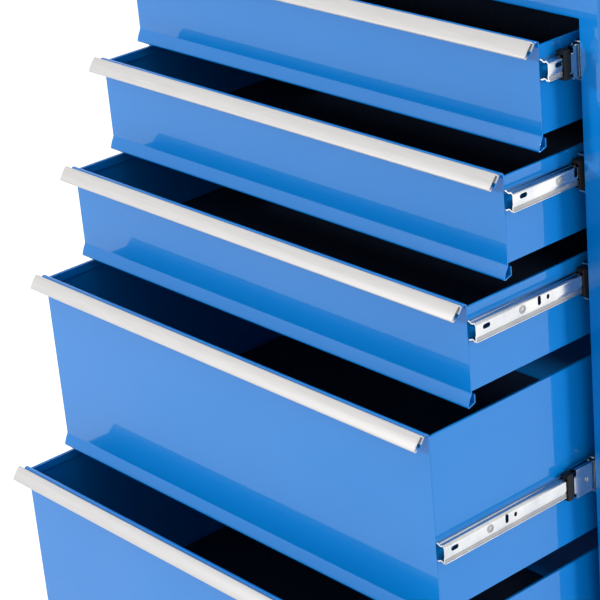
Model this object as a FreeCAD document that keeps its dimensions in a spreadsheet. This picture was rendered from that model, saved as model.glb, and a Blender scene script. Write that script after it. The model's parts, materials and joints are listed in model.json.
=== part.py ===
import FreeCAD
import Part
import os
import Sketcher

# Rolling tool cabinet: a sheet-steel case on four casters, with five drawers on
# telescopic ball slides. X runs across the front, Y runs back, Z runs up, in millimetres.
# The origin lies on the floor, below the centre of the whole with its drawers pulled out.

SIZES = [
    ("DrawerWidth", 560, "width of each drawer front and drawer box"),
    ("ShallowFront", 84.8, "flat height of the fronts of the three upper drawers"),
    ("DeepFront", 182, "flat height of the fronts of the two lower drawers"),
    ("FrontGap", 17, "height between one flat front and the next"),
    ("TopReveal", 12, "opening above the first front"),
    ("BottomReveal", 17, "opening below the last front"),
    ("DrawerLength", 400, "from the front's face to the back of the drawer box"),
    ("PullOutFirst", 35, "how far the first drawer stands open"),
    ("PullOutSecond", 84.5, "how far the second drawer stands open"),
    ("PullOutThird", 136.5, "how far the third drawer stands open"),
    ("PullOutFourth", 190, "how far the fourth drawer stands open"),
    ("PullOutFifth", 244, "how far the fifth drawer stands open"),
    ("FrontSheet", 1.2, "sheet of the drawer fronts"),
    ("EdgeRadius", 1.8, "inner radius of the rolled upper edge of a front"),
    ("EdgeLeg", 11, "leg of the rolled upper edge, which carries the pull"),
    ("LipReach", 4.8, "how far the lower lip of a front flares forward"),
    ("LipBack", 4.8, "how far the lower lip returns behind the face"),
    ("LipShoulder", 10.7, "drop from the flat front to the widest point of the lip"),
    ("LipDrop", 13.2, "drop from the flat front to the bottom of the lip"),
    ("LipReturn", 2.2, "drop from the flat front to the free edge of the lip"),
    ("PullSheet", 1.3, "wall of the pull extrusion"),
    ("PullStand", 5.2, "how far the pull's face stands off the leg of the edge"),
    ("PullFace", 15.9, "width of the pull's face"),
    ("PullReturn", 3.2, "depth of the pull's lower return"),
    ("PullLip", 2.4, "inner lip of the pull's lower return"),
    ("PullClip", 7, "flange of the pull that grips the leg"),
    ("PullBow", 42, "radius of the pull's slightly rounded face"),
    ("TraySheet", 1, "sheet of the drawer boxes"),
    ("TrayDrop", 4, "from the top of a front down to the top of its box"),
    ("TrayLift", 1.5, "from the flat front's lower end up to the box's underside"),
    ("HemWidth", 3, "width of the folded hem on the sides of a box"),
    ("HemDepth", 9, "depth of that hem"),
    ("LinerSheet", 2, "thickness of the drawer liners"),
    ("LinerMargin", 3, "liner's distance from the walls of its box"),
    ("SlideGap", 14, "width beside each drawer, which its slide fills"),
    ("ShallowSlide", 25, "from the top of a shallow front down to its slide's centre"),
    ("DeepSlide", 115.5, "from the top of a deep front down to its slide's centre"),
    ("SlideSheet", 1.2, "sheet of the slide members"),
    ("InnerLength", 392, "length of the slide member on the drawer"),
    ("InnerHeight", 18.6, "height of the member on the drawer"),
    ("InnerReach", 10.5, "how far that member stands out from the drawer"),
    ("InnerStart", 0.8, "from the face of the front back to that member"),
    ("RaceStart", 2.8, "from the drawer's side to the inner ball race"),
    ("RaceWidth", 4.6, "width of a ball race"),
    ("RaceDepth", 1.3, "depth of a ball race"),
    ("MiddleLength", 350, "length of the middle member"),
    ("MiddleHeight", 29.5, "height of the middle member"),
    ("MiddleTip", 3, "from the drawer's side to the middle member's flange tips"),
    ("MemberGap", 0.5, "running gap between the webs of two members"),
    ("RailOverlap", 18, "how far a case member reaches over its rear upright"),
    ("OuterHeight", 35, "height of the member on the case"),
    ("OuterTip", 6, "from the drawer's side to the case member's flange tips"),
    ("OuterStart", 2, "from the face of the case back to its slide members"),
    ("CageGap", 0.35, "clearance of the ball cages to the members"),
    ("CageCollar", 8, "collar of a ball cage in front of the middle member"),
    ("CageWall", 1.2, "wall of that collar"),
    ("CageLength", 240, "length of the ball cages"),
    ("CageWidth", 3.4, "width of the cage strips"),
    ("MiddleOutFirst", 9, "how far the first middle members stand out"),
    ("MiddleOutSecond", -5, "how far the second middle members stand out"),
    ("MiddleOutThird", -5, "how far the third middle members stand out"),
    ("MiddleOutFourth", 26, "how far the fourth middle members stand out"),
    ("MiddleOutFifth", 40, "how far the fifth middle members stand out"),
    ("SlotPlace", 12.9, "from the face of a front to the slide's adjusting slot"),
    ("SlotLength", 9, "length of the adjusting slot"),
    ("SlotHeight", 5, "height of the adjusting slot"),
    ("UprightSlotPlace", 78, "from the face of a front to the slide's upright slot"),
    ("UprightSlotHeight", 8, "height of the upright slot"),
    ("UprightSlotWidth", 4, "width of the upright slot"),
    ("CaseSheet", 1.2, "sheet of the case"),
    ("PostWidth", 25, "width of the front posts"),
    ("TopRail", 48, "height of the rail above the opening"),
    ("BottomRail", 40, "height of the rail below the opening"),
    ("FrameDepth", 30, "depth of the front frame's returns"),
    ("FrameBend", 4, "radius of the case's front corners"),
    ("OpeningBend", 1.6, "radius of the edges round the opening"),
    ("CaseDepth", 450, "depth of the case"),
    ("FrontFlange", 14, "front flange of the side panels"),
    ("RearFlange", 18, "rear flange of the side panels"),
    ("UprightDepth", 30, "width of the rear uprights"),
    ("UprightInset", 36, "from the rear uprights to the back panel"),
    ("BaseFlange", 30, "upturned flange of the base pan"),
    ("TopHeight", 8, "height of the top's rim"),
    ("TopRim", 9, "width of the top's rim"),
    ("MatSheet", 3, "thickness of the rubber mat"),
    ("MatGap", 0.5, "mat's distance from the rim"),
    ("CasterHeight", 128, "from the floor to the case"),
    ("CasterInset", 62, "from the case's sides to the caster plates' centres"),
    ("CasterFront", 78, "from the case's face to the front casters"),
    ("CasterRear", 66, "from the case's back to the rear casters"),
    ("CasterTrail", 35, "from the swivel's axis to the wheel's axle"),
    ("PlateLength", 100, "length of the caster plates"),
    ("PlateWidth", 78, "width of the caster plates"),
    ("PlateSheet", 3, "thickness of the caster plates"),
    ("RaceHead", 22, "radius of the swivel's ball head"),
    ("RaceHeadHeight", 9.7, "height of the ball head"),
    ("KingPin", 6, "radius of the swivel's pin"),
    ("KingHead", 10, "radius of the pin's nut, to its corners"),
    ("WheelRadius", 50, "radius of the wheels"),
    ("WheelWidth", 32, "width of the wheels"),
    ("HubRadius", 13, "radius of a wheel's hub"),
    ("AxleRadius", 5, "radius of the axles"),
    ("AxleHead", 9, "radius of the axle heads, to their corners"),
    ("AxleHeadHeight", 4, "height of the axle heads"),
    ("ForkSheet", 3, "sheet of the caster forks"),
    ("ForkGap", 1.5, "gap between a wheel and its fork"),
    ("ForkHalf", 24, "half the length of a fork's crown"),
    ("ForkEye", 13, "radius of a fork round its axle"),
    ("RunningGap", 0.05, "radial clearance of turning parts on their pins"),
    ("SeatGap", 0.3, "end clearance of turning parts"),
    ("BrakePivot", 20, "from the swivel's axis to the brake lever's pivot"),
    ("BrakeDrop", 5, "from the fork's crown down to that pivot"),
    ("BrakeHub", 4.3, "radius of the brake lever round its pin"),
    ("BrakePin", 3, "radius of the brake lever's pin"),
    ("BrakeReach", 42, "from that pivot to the bend of the lever"),
    ("BrakePedal", 16, "length of the lever's pedal"),
    ("BrakeSheet", 3, "thickness of the brake lever"),
    ("HandleHeight", 830, "height of the push handle above the floor"),
    ("HandleReach", 55, "from the case's side to the handle's axis"),
    ("HandleRadius", 11, "radius of the handle's tube"),
    ("HandleInset", 62, "from the case's ends to the handle's brackets"),
    ("BracketFoot", 46, "length of a bracket's foot on the case"),
    ("BracketSheet", 4, "thickness of that foot"),
    ("BracketArm", 16, "width of a bracket's arm"),
    ("BracketHigh", 28, "height of the brackets"),
    ("SocketWall", 4, "wall of a bracket round the handle's tube"),
    ("SocketCap", 3, "end wall that closes a bracket's socket"),
    ("LockRadius", 9.5, "radius of the lock's sleeve"),
    ("LockFlange", 13, "radius of the lock's flange"),
    ("LockFlangeHeight", 2.4, "thickness of the lock's flange"),
    ("LockLength", 22, "length of the lock behind the rail"),
    ("PlugRadius", 6.5, "radius of the lock's plug"),
    ("KeyWidth", 1.6, "width of the key slot"),
    ("KeyHeight", 8, "height of the key slot"),
    ("KeyDepth", 9, "depth of the key slot"),
    ("CamReach", 18, "reach of the lock's cam"),
    ("CamWidth", 9, "width of the lock's cam"),
    ("CamSheet", 2, "thickness of the lock's cam"),
]

# The leg of the rolled edge, and the pull on it, lean forward by a 3-4-5 triangle.
LEAN_FORWARD = 0.6
LEAN_DOWN = 0.8

doc = FreeCAD.newDocument("RollingToolCabinet")
sheet = doc.addObject("Spreadsheet::Sheet", "Sizes")
for row, (alias, value, meaning) in enumerate(SIZES, start=1):
    sheet.set(f"A{row}", meaning)
    sheet.set(f"B{row}", str(value))
    sheet.setAlias(f"B{row}", alias)
doc.recompute()


class Size:
    """A length: its number, and the expression that ties it to the sheet."""

    def __init__(self, number, text):
        self.number = number
        self.text = text

    def __add__(self, other):
        other = as_size(other)
        return Size(self.number + other.number, f"({self.text} + {other.text})")

    def __sub__(self, other):
        other = as_size(other)
        return Size(self.number - other.number, f"({self.text} - {other.text})")

    def __mul__(self, other):
        other = as_size(other)
        return Size(self.number * other.number, f"({self.text} * {other.text})")

    def __truediv__(self, other):
        other = as_size(other)
        return Size(self.number / other.number, f"({self.text} / {other.text})")

    def __neg__(self):
        return Size(-self.number, f"(0 - {self.text})")


def as_size(value):
    if isinstance(value, Size):
        return value
    return Size(float(value), f"({value})")


def size(alias):
    return Size(float(sheet.get(alias)), f"Sizes.{alias}")


# ---- building blocks ----

nodes = {}
cuts = []


def bind(obj, prop, value):
    obj.setExpression(prop, as_size(value).text)


def place(obj, x=0, y=0, z=0, turn=None):
    if turn is not None:
        obj.Placement = FreeCAD.Placement(FreeCAD.Vector(), turn)
    for axis, value in zip("xyz", (x, y, z)):
        bind(obj, f"Placement.Base.{axis}", value)
    return obj


def name_node(obj, name):
    obj.Label = name
    nodes[name] = obj
    return obj


def turn_about(axis, degrees):
    return FreeCAD.Rotation(FreeCAD.Vector(*axis), degrees)


# Rotations that lay a free sketch in the YZ or XZ plane, and a cylinder along X or Y.
IN_YZ = turn_about((1, 1, 1), 120)
IN_XZ = turn_about((1, 0, 0), 90)
ALONG_X = turn_about((0, 1, 0), 90)
ALONG_Y = turn_about((1, 0, 0), -90)


def arc_centre(start, end, radius):
    """Centre of the arc that turns left from start to end, or right if radius < 0."""
    middle = FreeCAD.Vector((start[0] + end[0]) / 2, (start[1] + end[1]) / 2, 0)
    along = FreeCAD.Vector(end[0] - start[0], end[1] - start[1], 0)
    half = along.Length / 2
    rise = (radius**2 - half**2) ** 0.5
    left = FreeCAD.Vector(-along.y, along.x, 0).normalize()
    return middle + left * (rise if radius > 0 else -rise)


def draw(sketch, points, closed=True):
    """Draw points joined by lines. A third value on a point is the radius of the arc
    that leads on from it: it turns left where the radius is positive."""
    count = len(points)
    last = count if closed else count - 1
    first = sketch.GeometryCount
    numbers = [(as_size(p[0]).number, as_size(p[1]).number) for p in points]
    ends = {}
    for i in range(last):
        a, b = numbers[i], numbers[(i + 1) % count]
        start, end = FreeCAD.Vector(*a, 0), FreeCAD.Vector(*b, 0)
        ends[i] = (1, 2)
        if len(points[i]) == 3:
            radius, side = points[i][2]
            centre = arc_centre(a, b, radius.number * side)
            rim = (start + end) / 2 - centre
            apex = centre + rim.normalize() * radius.number
            if side < 0:
                start, end = end, start
                ends[i] = (2, 1)
            sketch.addGeometry(Part.Arc(start, apex, end), False)
        else:
            sketch.addGeometry(Part.LineSegment(start, end), False)
    for i in range(last if closed else last - 1):
        after = (i + 1) % count
        sketch.addConstraint(Sketcher.Constraint(
            "Coincident", first + i, ends[i][1], first + after, ends[after][0]))
    for i in range(count):
        curve, end = (first + i, ends[i][0]) if i < last else (first + i - 1, ends[i - 1][1])
        for kind, value in zip(("DistanceX", "DistanceY"), points[i][:2]):
            value = as_size(value)
            number = sketch.addConstraint(Sketcher.Constraint(
                kind, -1, 1, curve, end, value.number))
            bind(sketch, f"Constraints[{number}]", value)
        if i < last and len(points[i]) == 3:
            radius = points[i][2][0]
            number = sketch.addConstraint(Sketcher.Constraint(
                "Radius", first + i, radius.number))
            bind(sketch, f"Constraints[{number}]", radius)


def draw_circle(sketch, x, y, radius):
    x, y, radius = as_size(x), as_size(y), as_size(radius)
    centre = FreeCAD.Vector(x.number, y.number, 0)
    circle = sketch.addGeometry(
        Part.Circle(centre, FreeCAD.Vector(0, 0, 1), radius.number), False)
    for kind, value in (("DistanceX", x), ("DistanceY", y)):
        number = sketch.addConstraint(Sketcher.Constraint(
            kind, -1, 1, circle, 3, value.number))
        bind(sketch, f"Constraints[{number}]", value)
    number = sketch.addConstraint(Sketcher.Constraint("Radius", circle, radius.number))
    bind(sketch, f"Constraints[{number}]", radius)


def rectangle(x_low, x_high, y_low, y_high):
    return [(x_low, y_low), (x_high, y_low), (x_high, y_high), (x_low, y_high)]


def new_body(name):
    return doc.addObject("PartDesign::Body", name)


def sketch_on(body, plane, outlines=(), circles=(), offset=None):
    """A sketch on one of the body's own origin planes, moved along its normal."""
    sketch = body.newObject("Sketcher::SketchObject", f"{body.Name}Sketch")
    role = f"{plane}_Plane"
    support = next(f for f in body.Origin.OriginFeatures if f.Role == role)
    sketch.AttachmentSupport = [(support, "")]
    sketch.MapMode = "FlatFace"
    if offset is not None:
        bind(sketch, "AttachmentOffset.Base.z", offset)
    for outline in outlines:
        draw(sketch, outline)
    for circle in circles:
        draw_circle(sketch, *circle)
    return sketch


def pad(body, plane, outlines, length, circles=(), back=False, middle=False, offset=None):
    sketch = sketch_on(body, plane, outlines, circles, offset)
    feature = body.newObject("PartDesign::Pad", f"{body.Name}Pad")
    feature.Profile = sketch
    feature.Reversed = back
    if middle:
        feature.SideType = "Symmetric"
    bind(feature, "Length", length)
    body.Tip = feature
    return feature


def pocket(body, plane, outlines, length, circles=(), back=False, middle=False, offset=None):
    before = body.Tip
    sketch = sketch_on(body, plane, outlines, circles, offset)
    feature = body.newObject("PartDesign::Pocket", f"{body.Name}Pocket")
    feature.Profile = sketch
    feature.Reversed = back
    if middle:
        feature.SideType = "Symmetric"
    bind(feature, "Length", length)
    body.Tip = feature
    cuts.append((before, feature))
    return feature


def round_edges(body, radius, chosen):
    """Fillet the edges of the body that the test chosen(edge) picks."""
    doc.recompute()
    base = body.Tip
    names = [f"Edge{i}" for i, edge in enumerate(base.Shape.Edges, start=1) if chosen(edge)]
    fillet = body.newObject("PartDesign::Fillet", f"{body.Name}Fillet")
    fillet.Base = (base, names)
    bind(fillet, "Radius", radius)
    body.Tip = fillet
    return fillet


def chamfer_edges(body, width, chosen):
    """Chamfer the edges of the body that the test chosen(edge) picks."""
    doc.recompute()
    base = body.Tip
    names = [f"Edge{i}" for i, edge in enumerate(base.Shape.Edges, start=1) if chosen(edge)]
    chamfer = body.newObject("PartDesign::Chamfer", f"{body.Name}Chamfer")
    chamfer.Base = (base, names)
    bind(chamfer, "Size", width)
    body.Tip = chamfer
    return chamfer


def free_sketch(name, turn, points):
    sketch = doc.addObject("Sketcher::SketchObject", f"{name}Line")
    sketch.Placement = FreeCAD.Placement(FreeCAD.Vector(), turn)
    draw(sketch, points, closed=False)
    return sketch


def bent_sheet(name, turn, points, thickness, direction, length, both=False, corners="Arc"):
    """Sheet bent along a line of points and drawn out straight. Its thickness lies to the
    right of the line, or, in the XZ plane, where it is negative."""
    line = free_sketch(name, turn, points)
    section = doc.addObject("Part::Offset2D", f"{name}Section")
    section.Source = line
    section.Mode = "Skin"
    section.Join = corners
    section.Fill = True
    bind(section, "Value", thickness)
    strip = doc.addObject("Part::Extrusion", name)
    strip.Base = section
    strip.DirMode = "Custom"
    strip.Dir = FreeCAD.Vector(*direction)
    strip.Solid = True
    strip.Symmetric = both
    bind(strip, "LengthFwd", length)
    return strip


def box(name, x_low, x_high, y_low, y_high, z_low, z_high):
    block = doc.addObject("Part::Box", name)
    lows = [as_size(v) for v in (x_low, y_low, z_low)]
    highs = [as_size(v) for v in (x_high, y_high, z_high)]
    for prop, low, high in zip(("Length", "Width", "Height"), lows, highs):
        bind(block, prop, high - low)
    return place(block, *lows)


def cylinder(name, radius, length, x=0, y=0, z=0, turn=None):
    rod = doc.addObject("Part::Cylinder", name)
    bind(rod, "Radius", radius)
    bind(rod, "Height", length)
    return place(rod, x, y, z, turn)


def hexagon(name, radius, length, x=0, y=0, z=0, turn=None):
    """A hexagonal head or nut. Its radius reaches to the corners."""
    head = doc.addObject("Part::Prism", name)
    head.Polygon = 6
    bind(head, "Circumradius", radius)
    bind(head, "Height", length)
    return place(head, x, y, z, turn)


def fuse(name, shapes):
    joined = doc.addObject("Part::MultiFuse", name)
    joined.Shapes = shapes
    return joined


def cut(name, base, tool):
    result = doc.addObject("Part::Cut", name)
    result.Base = base
    result.Tool = tool
    cuts.append((base, result))
    return result


def mirror(name, source):
    """The source's mirror image across the plane X = 0."""
    copy = doc.addObject("Part::Mirroring", name)
    copy.Source = source
    copy.Normal = FreeCAD.Vector(1, 0, 0)
    return copy


def group(name, links):
    compound = doc.addObject("Part::Compound", name)
    compound.Links = links
    return compound


def along(edge, axis):
    direction = edge.tangentAt(edge.FirstParameter)
    return len(edge.Vertexes) == 2 and abs(abs(getattr(direction, axis)) - 1) < 1e-6


# ---- places that several pieces share ----

half_drawer = size("DrawerWidth") / 2
half_opening = half_drawer + size("SlideGap")
half_case = half_opening + size("PostWidth")

fronts = ["ShallowFront", "ShallowFront", "ShallowFront", "DeepFront", "DeepFront"]
ordinals = ["First", "Second", "Third", "Fourth", "Fifth"]

case_base = size("CasterHeight")
opening_base = case_base + size("BottomRail")
front_base = opening_base + size("BottomReveal")
front_tops = []
for front in reversed(fronts):
    front_tops.insert(0, front_base + size(front))
    front_base = front_tops[0] + size("FrontGap")
opening_top = front_tops[0] + size("TopReveal")
case_top = opening_top + size("TopRail")
case_height = case_top - case_base

# The leg of a front's rolled edge starts here, measured from the front's face and top.
edge_centre_drop = size("EdgeRadius") + size("FrontSheet")
leg_start = (
    -size("EdgeRadius") - (size("EdgeRadius") + size("FrontSheet")) * LEAN_DOWN,
    (size("EdgeRadius") + size("FrontSheet")) * LEAN_FORWARD - edge_centre_drop,
)


def lean(start, length, stand=0):
    """A point at a length down the leaning leg, and standing off it by stand."""
    length, stand = as_size(length), as_size(stand)
    return (
        start[0] - length * LEAN_FORWARD - stand * LEAN_DOWN,
        start[1] - length * LEAN_DOWN + stand * LEAN_FORWARD,
    )


pull_top = lean(leg_start, 0, size("PullStand"))
pull_bottom = lean(pull_top, size("PullFace"))
pull_reach = -pull_bottom[0]

# The case's face and middle plane, seen from the origin below the centre of the whole.
face_y = (size("PullOutFifth") + pull_reach - size("CaseDepth")) / 2
middle_x = -(size("HandleReach") + size("HandleRadius")) / 2


def set_in_case(obj, x=0, y=0, z=0):
    """Place an object that is modelled about the case's middle plane and face."""
    return place(obj, middle_x + x, face_y + y, as_size(z))


# ---- drawer fronts and pulls ----


def drawer_front(name, height):
    lower = -height
    return bent_sheet(
        name,
        IN_YZ,
        [
            (size("LipBack"), lower - size("LipReturn")),
            (size("LipBack"), lower - size("LipShoulder")),
            (-size("LipReach") * 2 / 3, lower - size("LipDrop"), (size("EdgeRadius"), -1)),
            (-size("LipReach"), lower - size("LipShoulder")),
            (as_size(0), lower),
            (as_size(0), -edge_centre_drop, (size("EdgeRadius"), 1)),
            (
                -size("EdgeRadius") - size("EdgeRadius") * LEAN_DOWN,
                size("EdgeRadius") * LEAN_FORWARD - edge_centre_drop,
            ),
            (
                -size("EdgeRadius") - size("EdgeRadius") * LEAN_DOWN
                - size("EdgeLeg") * LEAN_FORWARD,
                size("EdgeRadius") * LEAN_FORWARD - edge_centre_drop
                - size("EdgeLeg") * LEAN_DOWN,
            ),
        ],
        size("FrontSheet"),
        (1, 0, 0),
        size("DrawerWidth"),
        both=True,
    )


front_shapes = {
    "ShallowFront": drawer_front("ShallowFrontSheet", size("ShallowFront")),
    "DeepFront": drawer_front("DeepFrontSheet", size("DeepFront")),
}

clip_top = lean(leg_start, 0.4)
pull_heel = lean(pull_bottom, 0, -size("PullReturn"))
pull_section = [
    lean(pull_heel, -size("PullLip")),
    pull_heel,
    (*pull_bottom, (size("PullBow"), -1)),
    pull_top,
    clip_top,
    lean(clip_top, size("PullClip")),
]
pull_shape = bent_sheet(
    "PullExtrusion", IN_YZ, pull_section, size("PullSheet"), (1, 0, 0),
    size("DrawerWidth"), both=True)

# ---- drawer boxes and liners ----

tray_length = size("DrawerLength") - size("FrontSheet")


def drawer_tray(name, front_height):
    """An open box with hemmed sides. Its top is at Z = 0 and its front end at Y = 0."""
    body = new_body(name)
    height = front_height - size("TrayDrop") - size("TrayLift")
    wall = size("TraySheet")
    pad(body, "XY", [rectangle(-half_drawer, half_drawer, as_size(0), tray_length)],
        height, back=True)
    pocket(body, "XY", [rectangle(
        -half_drawer + wall, half_drawer - wall, as_size(0), tray_length - wall)],
        height - wall)
    hems = [
        rectangle(side[0], side[1], -size("HemDepth"), as_size(0))
        for side in (
            (-half_drawer, -half_drawer + size("HemWidth")),
            (half_drawer - size("HemWidth"), half_drawer),
        )
    ]
    pad(body, "XZ", hems, tray_length - wall / 2, back=True)
    return body


tray_shapes = {
    "ShallowFront": drawer_tray("ShallowTray", size("ShallowFront")),
    "DeepFront": drawer_tray("DeepTray", size("DeepFront")),
}

liner_half = half_drawer - size("TraySheet") - size("LinerMargin")
liner_shape = box(
    "LinerSheet", -liner_half, liner_half,
    size("FrontSheet") + size("LinerMargin"),
    size("DrawerLength") - size("TraySheet") - size("LinerMargin"),
    0, size("LinerSheet"))

# ---- telescopic slides, modelled about the slide's centre on the right side ----


def slide_member(name, height, tip, web, race, length):
    """A channel whose flanges point to the drawer and carry a sunk ball race each."""
    top = height / 2
    chamfer = size("SlideSheet")
    race_end = race + size("RaceWidth")
    depth = size("RaceDepth")
    upper = [
        (tip, top),
        (race, top),
        (race + depth, top - depth),
        (race_end - depth, top - depth),
        (race_end, top),
        (web - chamfer, top),
        (web, top - chamfer),
    ]
    lower = [
        (web, chamfer - top),
        (web - chamfer, -top),
        (race_end, -top),
        (race_end - depth, depth - top),
        (race + depth, depth - top),
        (race, -top),
        (tip, -top),
    ]
    return bent_sheet(
        name, IN_XZ, upper + lower, -size("SlideSheet"), (0, 1, 0), length,
        corners="Intersection")


inner_web = half_drawer + size("InnerReach")
middle_web = inner_web + size("MemberGap") + size("SlideSheet")
outer_web = half_opening
inner_race = half_drawer + size("RaceStart")
middle_race = middle_web - size("SlideSheet") * 1.5 - size("RaceWidth")

inner_channel = slide_member(
    "InnerChannel", size("InnerHeight"), half_drawer, inner_web, inner_race,
    size("InnerLength"))
web_depth = size("SlideSheet") * 2
slot = box(
    "AdjustingSlot", inner_web - web_depth, inner_web + web_depth,
    size("SlotPlace") - size("SlotLength") / 2, size("SlotPlace") + size("SlotLength") / 2,
    -size("SlotHeight") / 2, size("SlotHeight") / 2)
upright_slot = box(
    "UprightSlot", inner_web - web_depth, inner_web + web_depth,
    size("UprightSlotPlace") - size("UprightSlotWidth") / 2,
    size("UprightSlotPlace") + size("UprightSlotWidth") / 2,
    -size("UprightSlotHeight") / 2, size("UprightSlotHeight") / 2)
inner_slots = fuse("InnerSlots", [slot, upright_slot])
inner_member = cut("InnerMember", inner_channel, inner_slots)
inner_pair = group("InnerPair", [inner_member, mirror("InnerMemberLeft", inner_member)])

middle_member = slide_member(
    "MiddleMember", size("MiddleHeight"), half_drawer + size("MiddleTip"), middle_web,
    middle_race, size("MiddleLength"))
middle_pair = group("MiddlePair", [middle_member, mirror("MiddleMemberLeft", middle_member)])

# A case member's race would leave no room for its wall, so it is a plain channel.
outer_top = size("OuterHeight") / 2
outer_tip = half_drawer + size("OuterTip")
upright_back = size("CaseDepth") - size("CaseSheet") * 2 - size("UprightInset")
upright_front = upright_back - size("UprightDepth")
outer_length = upright_front + size("RailOverlap") - size("OuterStart")
outer_member = bent_sheet(
    "OuterMember",
    IN_XZ,
    [
        (outer_tip, outer_top),
        (outer_web - size("SlideSheet"), outer_top),
        (outer_web, outer_top - size("SlideSheet")),
        (outer_web, size("SlideSheet") - outer_top),
        (outer_web - size("SlideSheet"), -outer_top),
        (outer_tip, -outer_top),
    ],
    -size("SlideSheet"), (0, 1, 0), outer_length, corners="Intersection")
outer_pair = group("OuterPair", [outer_member, mirror("OuterMemberLeft", outer_member)])

# The ball cage: two strips between the flanges, and a collar in front of the middle member.
cage_low = size("InnerHeight") / 2 + size("CageGap")
cage_high = size("MiddleHeight") / 2 - size("SlideSheet") - size("CageGap")
strip_high = cage_high - size("RaceDepth")
strip_x = inner_race + (size("RaceWidth") - size("CageWidth")) / 2
cage_out = inner_web + size("CageGap") + size("CageWall")
collar_out = box(
    "CollarBlock", half_drawer + size("MiddleTip"), cage_out,
    -size("CageCollar"), -size("SeatGap"), -cage_high, cage_high)
collar_hole = box(
    "CollarHole", half_drawer, inner_web + size("CageGap"),
    -size("CageCollar") * 2, size("CageCollar"), -cage_low, cage_low)
collar = cut("Collar", collar_out, collar_hole)
upper_strip = box(
    "UpperStrip", strip_x, strip_x + size("CageWidth"),
    -size("CageCollar") / 2, size("CageLength"), cage_low, strip_high)
lower_strip = box(
    "LowerStrip", strip_x, strip_x + size("CageWidth"),
    -size("CageCollar") / 2, size("CageLength"), -strip_high, -cage_low)
cage = fuse("Cage", [collar, upper_strip, lower_strip])
cage_pair = group("CagePair", [cage, mirror("CageLeft", cage)])

# ---- the five drawers where they stand ----

slide_drops = {"ShallowFront": size("ShallowSlide"), "DeepFront": size("DeepSlide")}
outer_pairs = []
for number, (front, ordinal, top) in enumerate(zip(fronts, ordinals, front_tops), start=1):
    out = -size(f"PullOut{ordinal}")
    slide_z = top - slide_drops[front]
    tray_top = top - size("TrayDrop")
    tray_base = top - size(front) + size("TrayLift") + size("TraySheet")

    panel = name_node(group(f"Front{ordinal}", [front_shapes[front]]), f"drawer_{number}_front")
    set_in_case(panel, 0, out, top)
    pull = name_node(group(f"Pull{ordinal}", [pull_shape]), f"drawer_{number}_pull")
    set_in_case(pull, 0, out, top)
    tray = name_node(group(f"Tray{ordinal}", [tray_shapes[front]]), f"drawer_{number}_tray")
    set_in_case(tray, 0, out + size("FrontSheet"), tray_top)
    liner = name_node(group(f"Liner{ordinal}", [liner_shape]), f"drawer_{number}_liner")
    set_in_case(liner, 0, out, tray_base)
    rails = name_node(group(f"Rails{ordinal}", [inner_pair]), f"drawer_{number}_rails")
    set_in_case(rails, 0, out + size("InnerStart"), slide_z)

    middle_y = -size(f"MiddleOut{ordinal}")
    middles = name_node(group(f"Middles{ordinal}", [middle_pair]), f"slide_{number}_middle_rails")
    set_in_case(middles, 0, middle_y, slide_z)
    cages = name_node(group(f"Cages{ordinal}", [cage_pair]), f"slide_{number}_ball_cages")
    set_in_case(cages, 0, middle_y, slide_z)
    outers = group(f"Outers{ordinal}", [outer_pair])
    outer_pairs.append(place(outers, 0, size("OuterStart"), slide_z))

case_rails = name_node(group("CaseRails", outer_pairs), "case_slide_rails")
set_in_case(case_rails)

# ---- front frame: one welded piece with returns round its edge and round the opening ----

frame = new_body("FrontFrame")
skin = size("CaseSheet")
opening_low = opening_base - case_base
opening_high = opening_top - case_base
lock_z = opening_high + size("TopRail") / 2
frame_edge = rectangle(-half_case, half_case, as_size(0), case_height)
frame_opening = rectangle(-half_opening, half_opening, opening_low, opening_high)
pad(frame, "XZ", [frame_edge, frame_opening], skin, back=True)
pad(frame, "XZ", [
    frame_edge,
    rectangle(-half_case + skin, half_case - skin, skin, case_height - skin),
    rectangle(-half_opening - skin, half_opening + skin,
              opening_low - skin, opening_high + skin),
    frame_opening,
], size("FrameDepth"), back=True)
round_edges(frame, size("FrameBend"), lambda edge: along(edge, "z") and all(
    abs(abs(v.X) - half_case.number) < 1e-3 and abs(v.Y) < 1e-3 for v in edge.Vertexes))
round_edges(frame, size("OpeningBend"), lambda edge: all(
    abs(v.Y) < 1e-3 and abs(v.X) < half_opening.number + 1e-3
    and opening_low.number - 1e-3 < v.Z < opening_high.number + 1e-3
    for v in edge.Vertexes))
pocket(frame, "XZ", [], skin * 2, circles=[
    (0, lock_z, size("LockRadius") + size("RunningGap"))])
set_in_case(name_node(frame, "front_frame"), 0, 0, case_base)

# ---- case panels ----

side_line = [
    (half_case - size("RearFlange"), size("CaseDepth")),
    (half_case, size("CaseDepth")),
    (half_case, size("FrameDepth")),
    (half_case - size("FrontFlange"), size("FrameDepth")),
]
side = bent_sheet("SideSheet", FreeCAD.Rotation(), side_line, skin, (0, 0, 1), case_height)
right_side = name_node(group("RightSide", [side]), "right_side_panel")
set_in_case(right_side, 0, 0, case_base)
left_side = name_node(group("LeftSide", [mirror("SideSheetLeft", side)]), "left_side_panel")
set_in_case(left_side, 0, 0, case_base)

inside = half_case - skin
back_face = size("CaseDepth") - skin * 2
back_panel = name_node(box(
    "BackPanel", middle_x - inside, middle_x + inside,
    face_y + back_face, face_y + back_face + skin, case_base, case_top), "back_panel")

base_pan = new_body("BasePan")
pan_front = size("FrameDepth") + skin
pad(base_pan, "XY", [rectangle(-inside, inside, pan_front, back_face)], size("BaseFlange"))
pocket(base_pan, "XY", [rectangle(
    -inside + skin, inside - skin, pan_front + skin, back_face - skin)],
    size("BaseFlange") - skin, offset=skin, back=True)
set_in_case(name_node(base_pan, "base_pan"), 0, 0, case_base)

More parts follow.
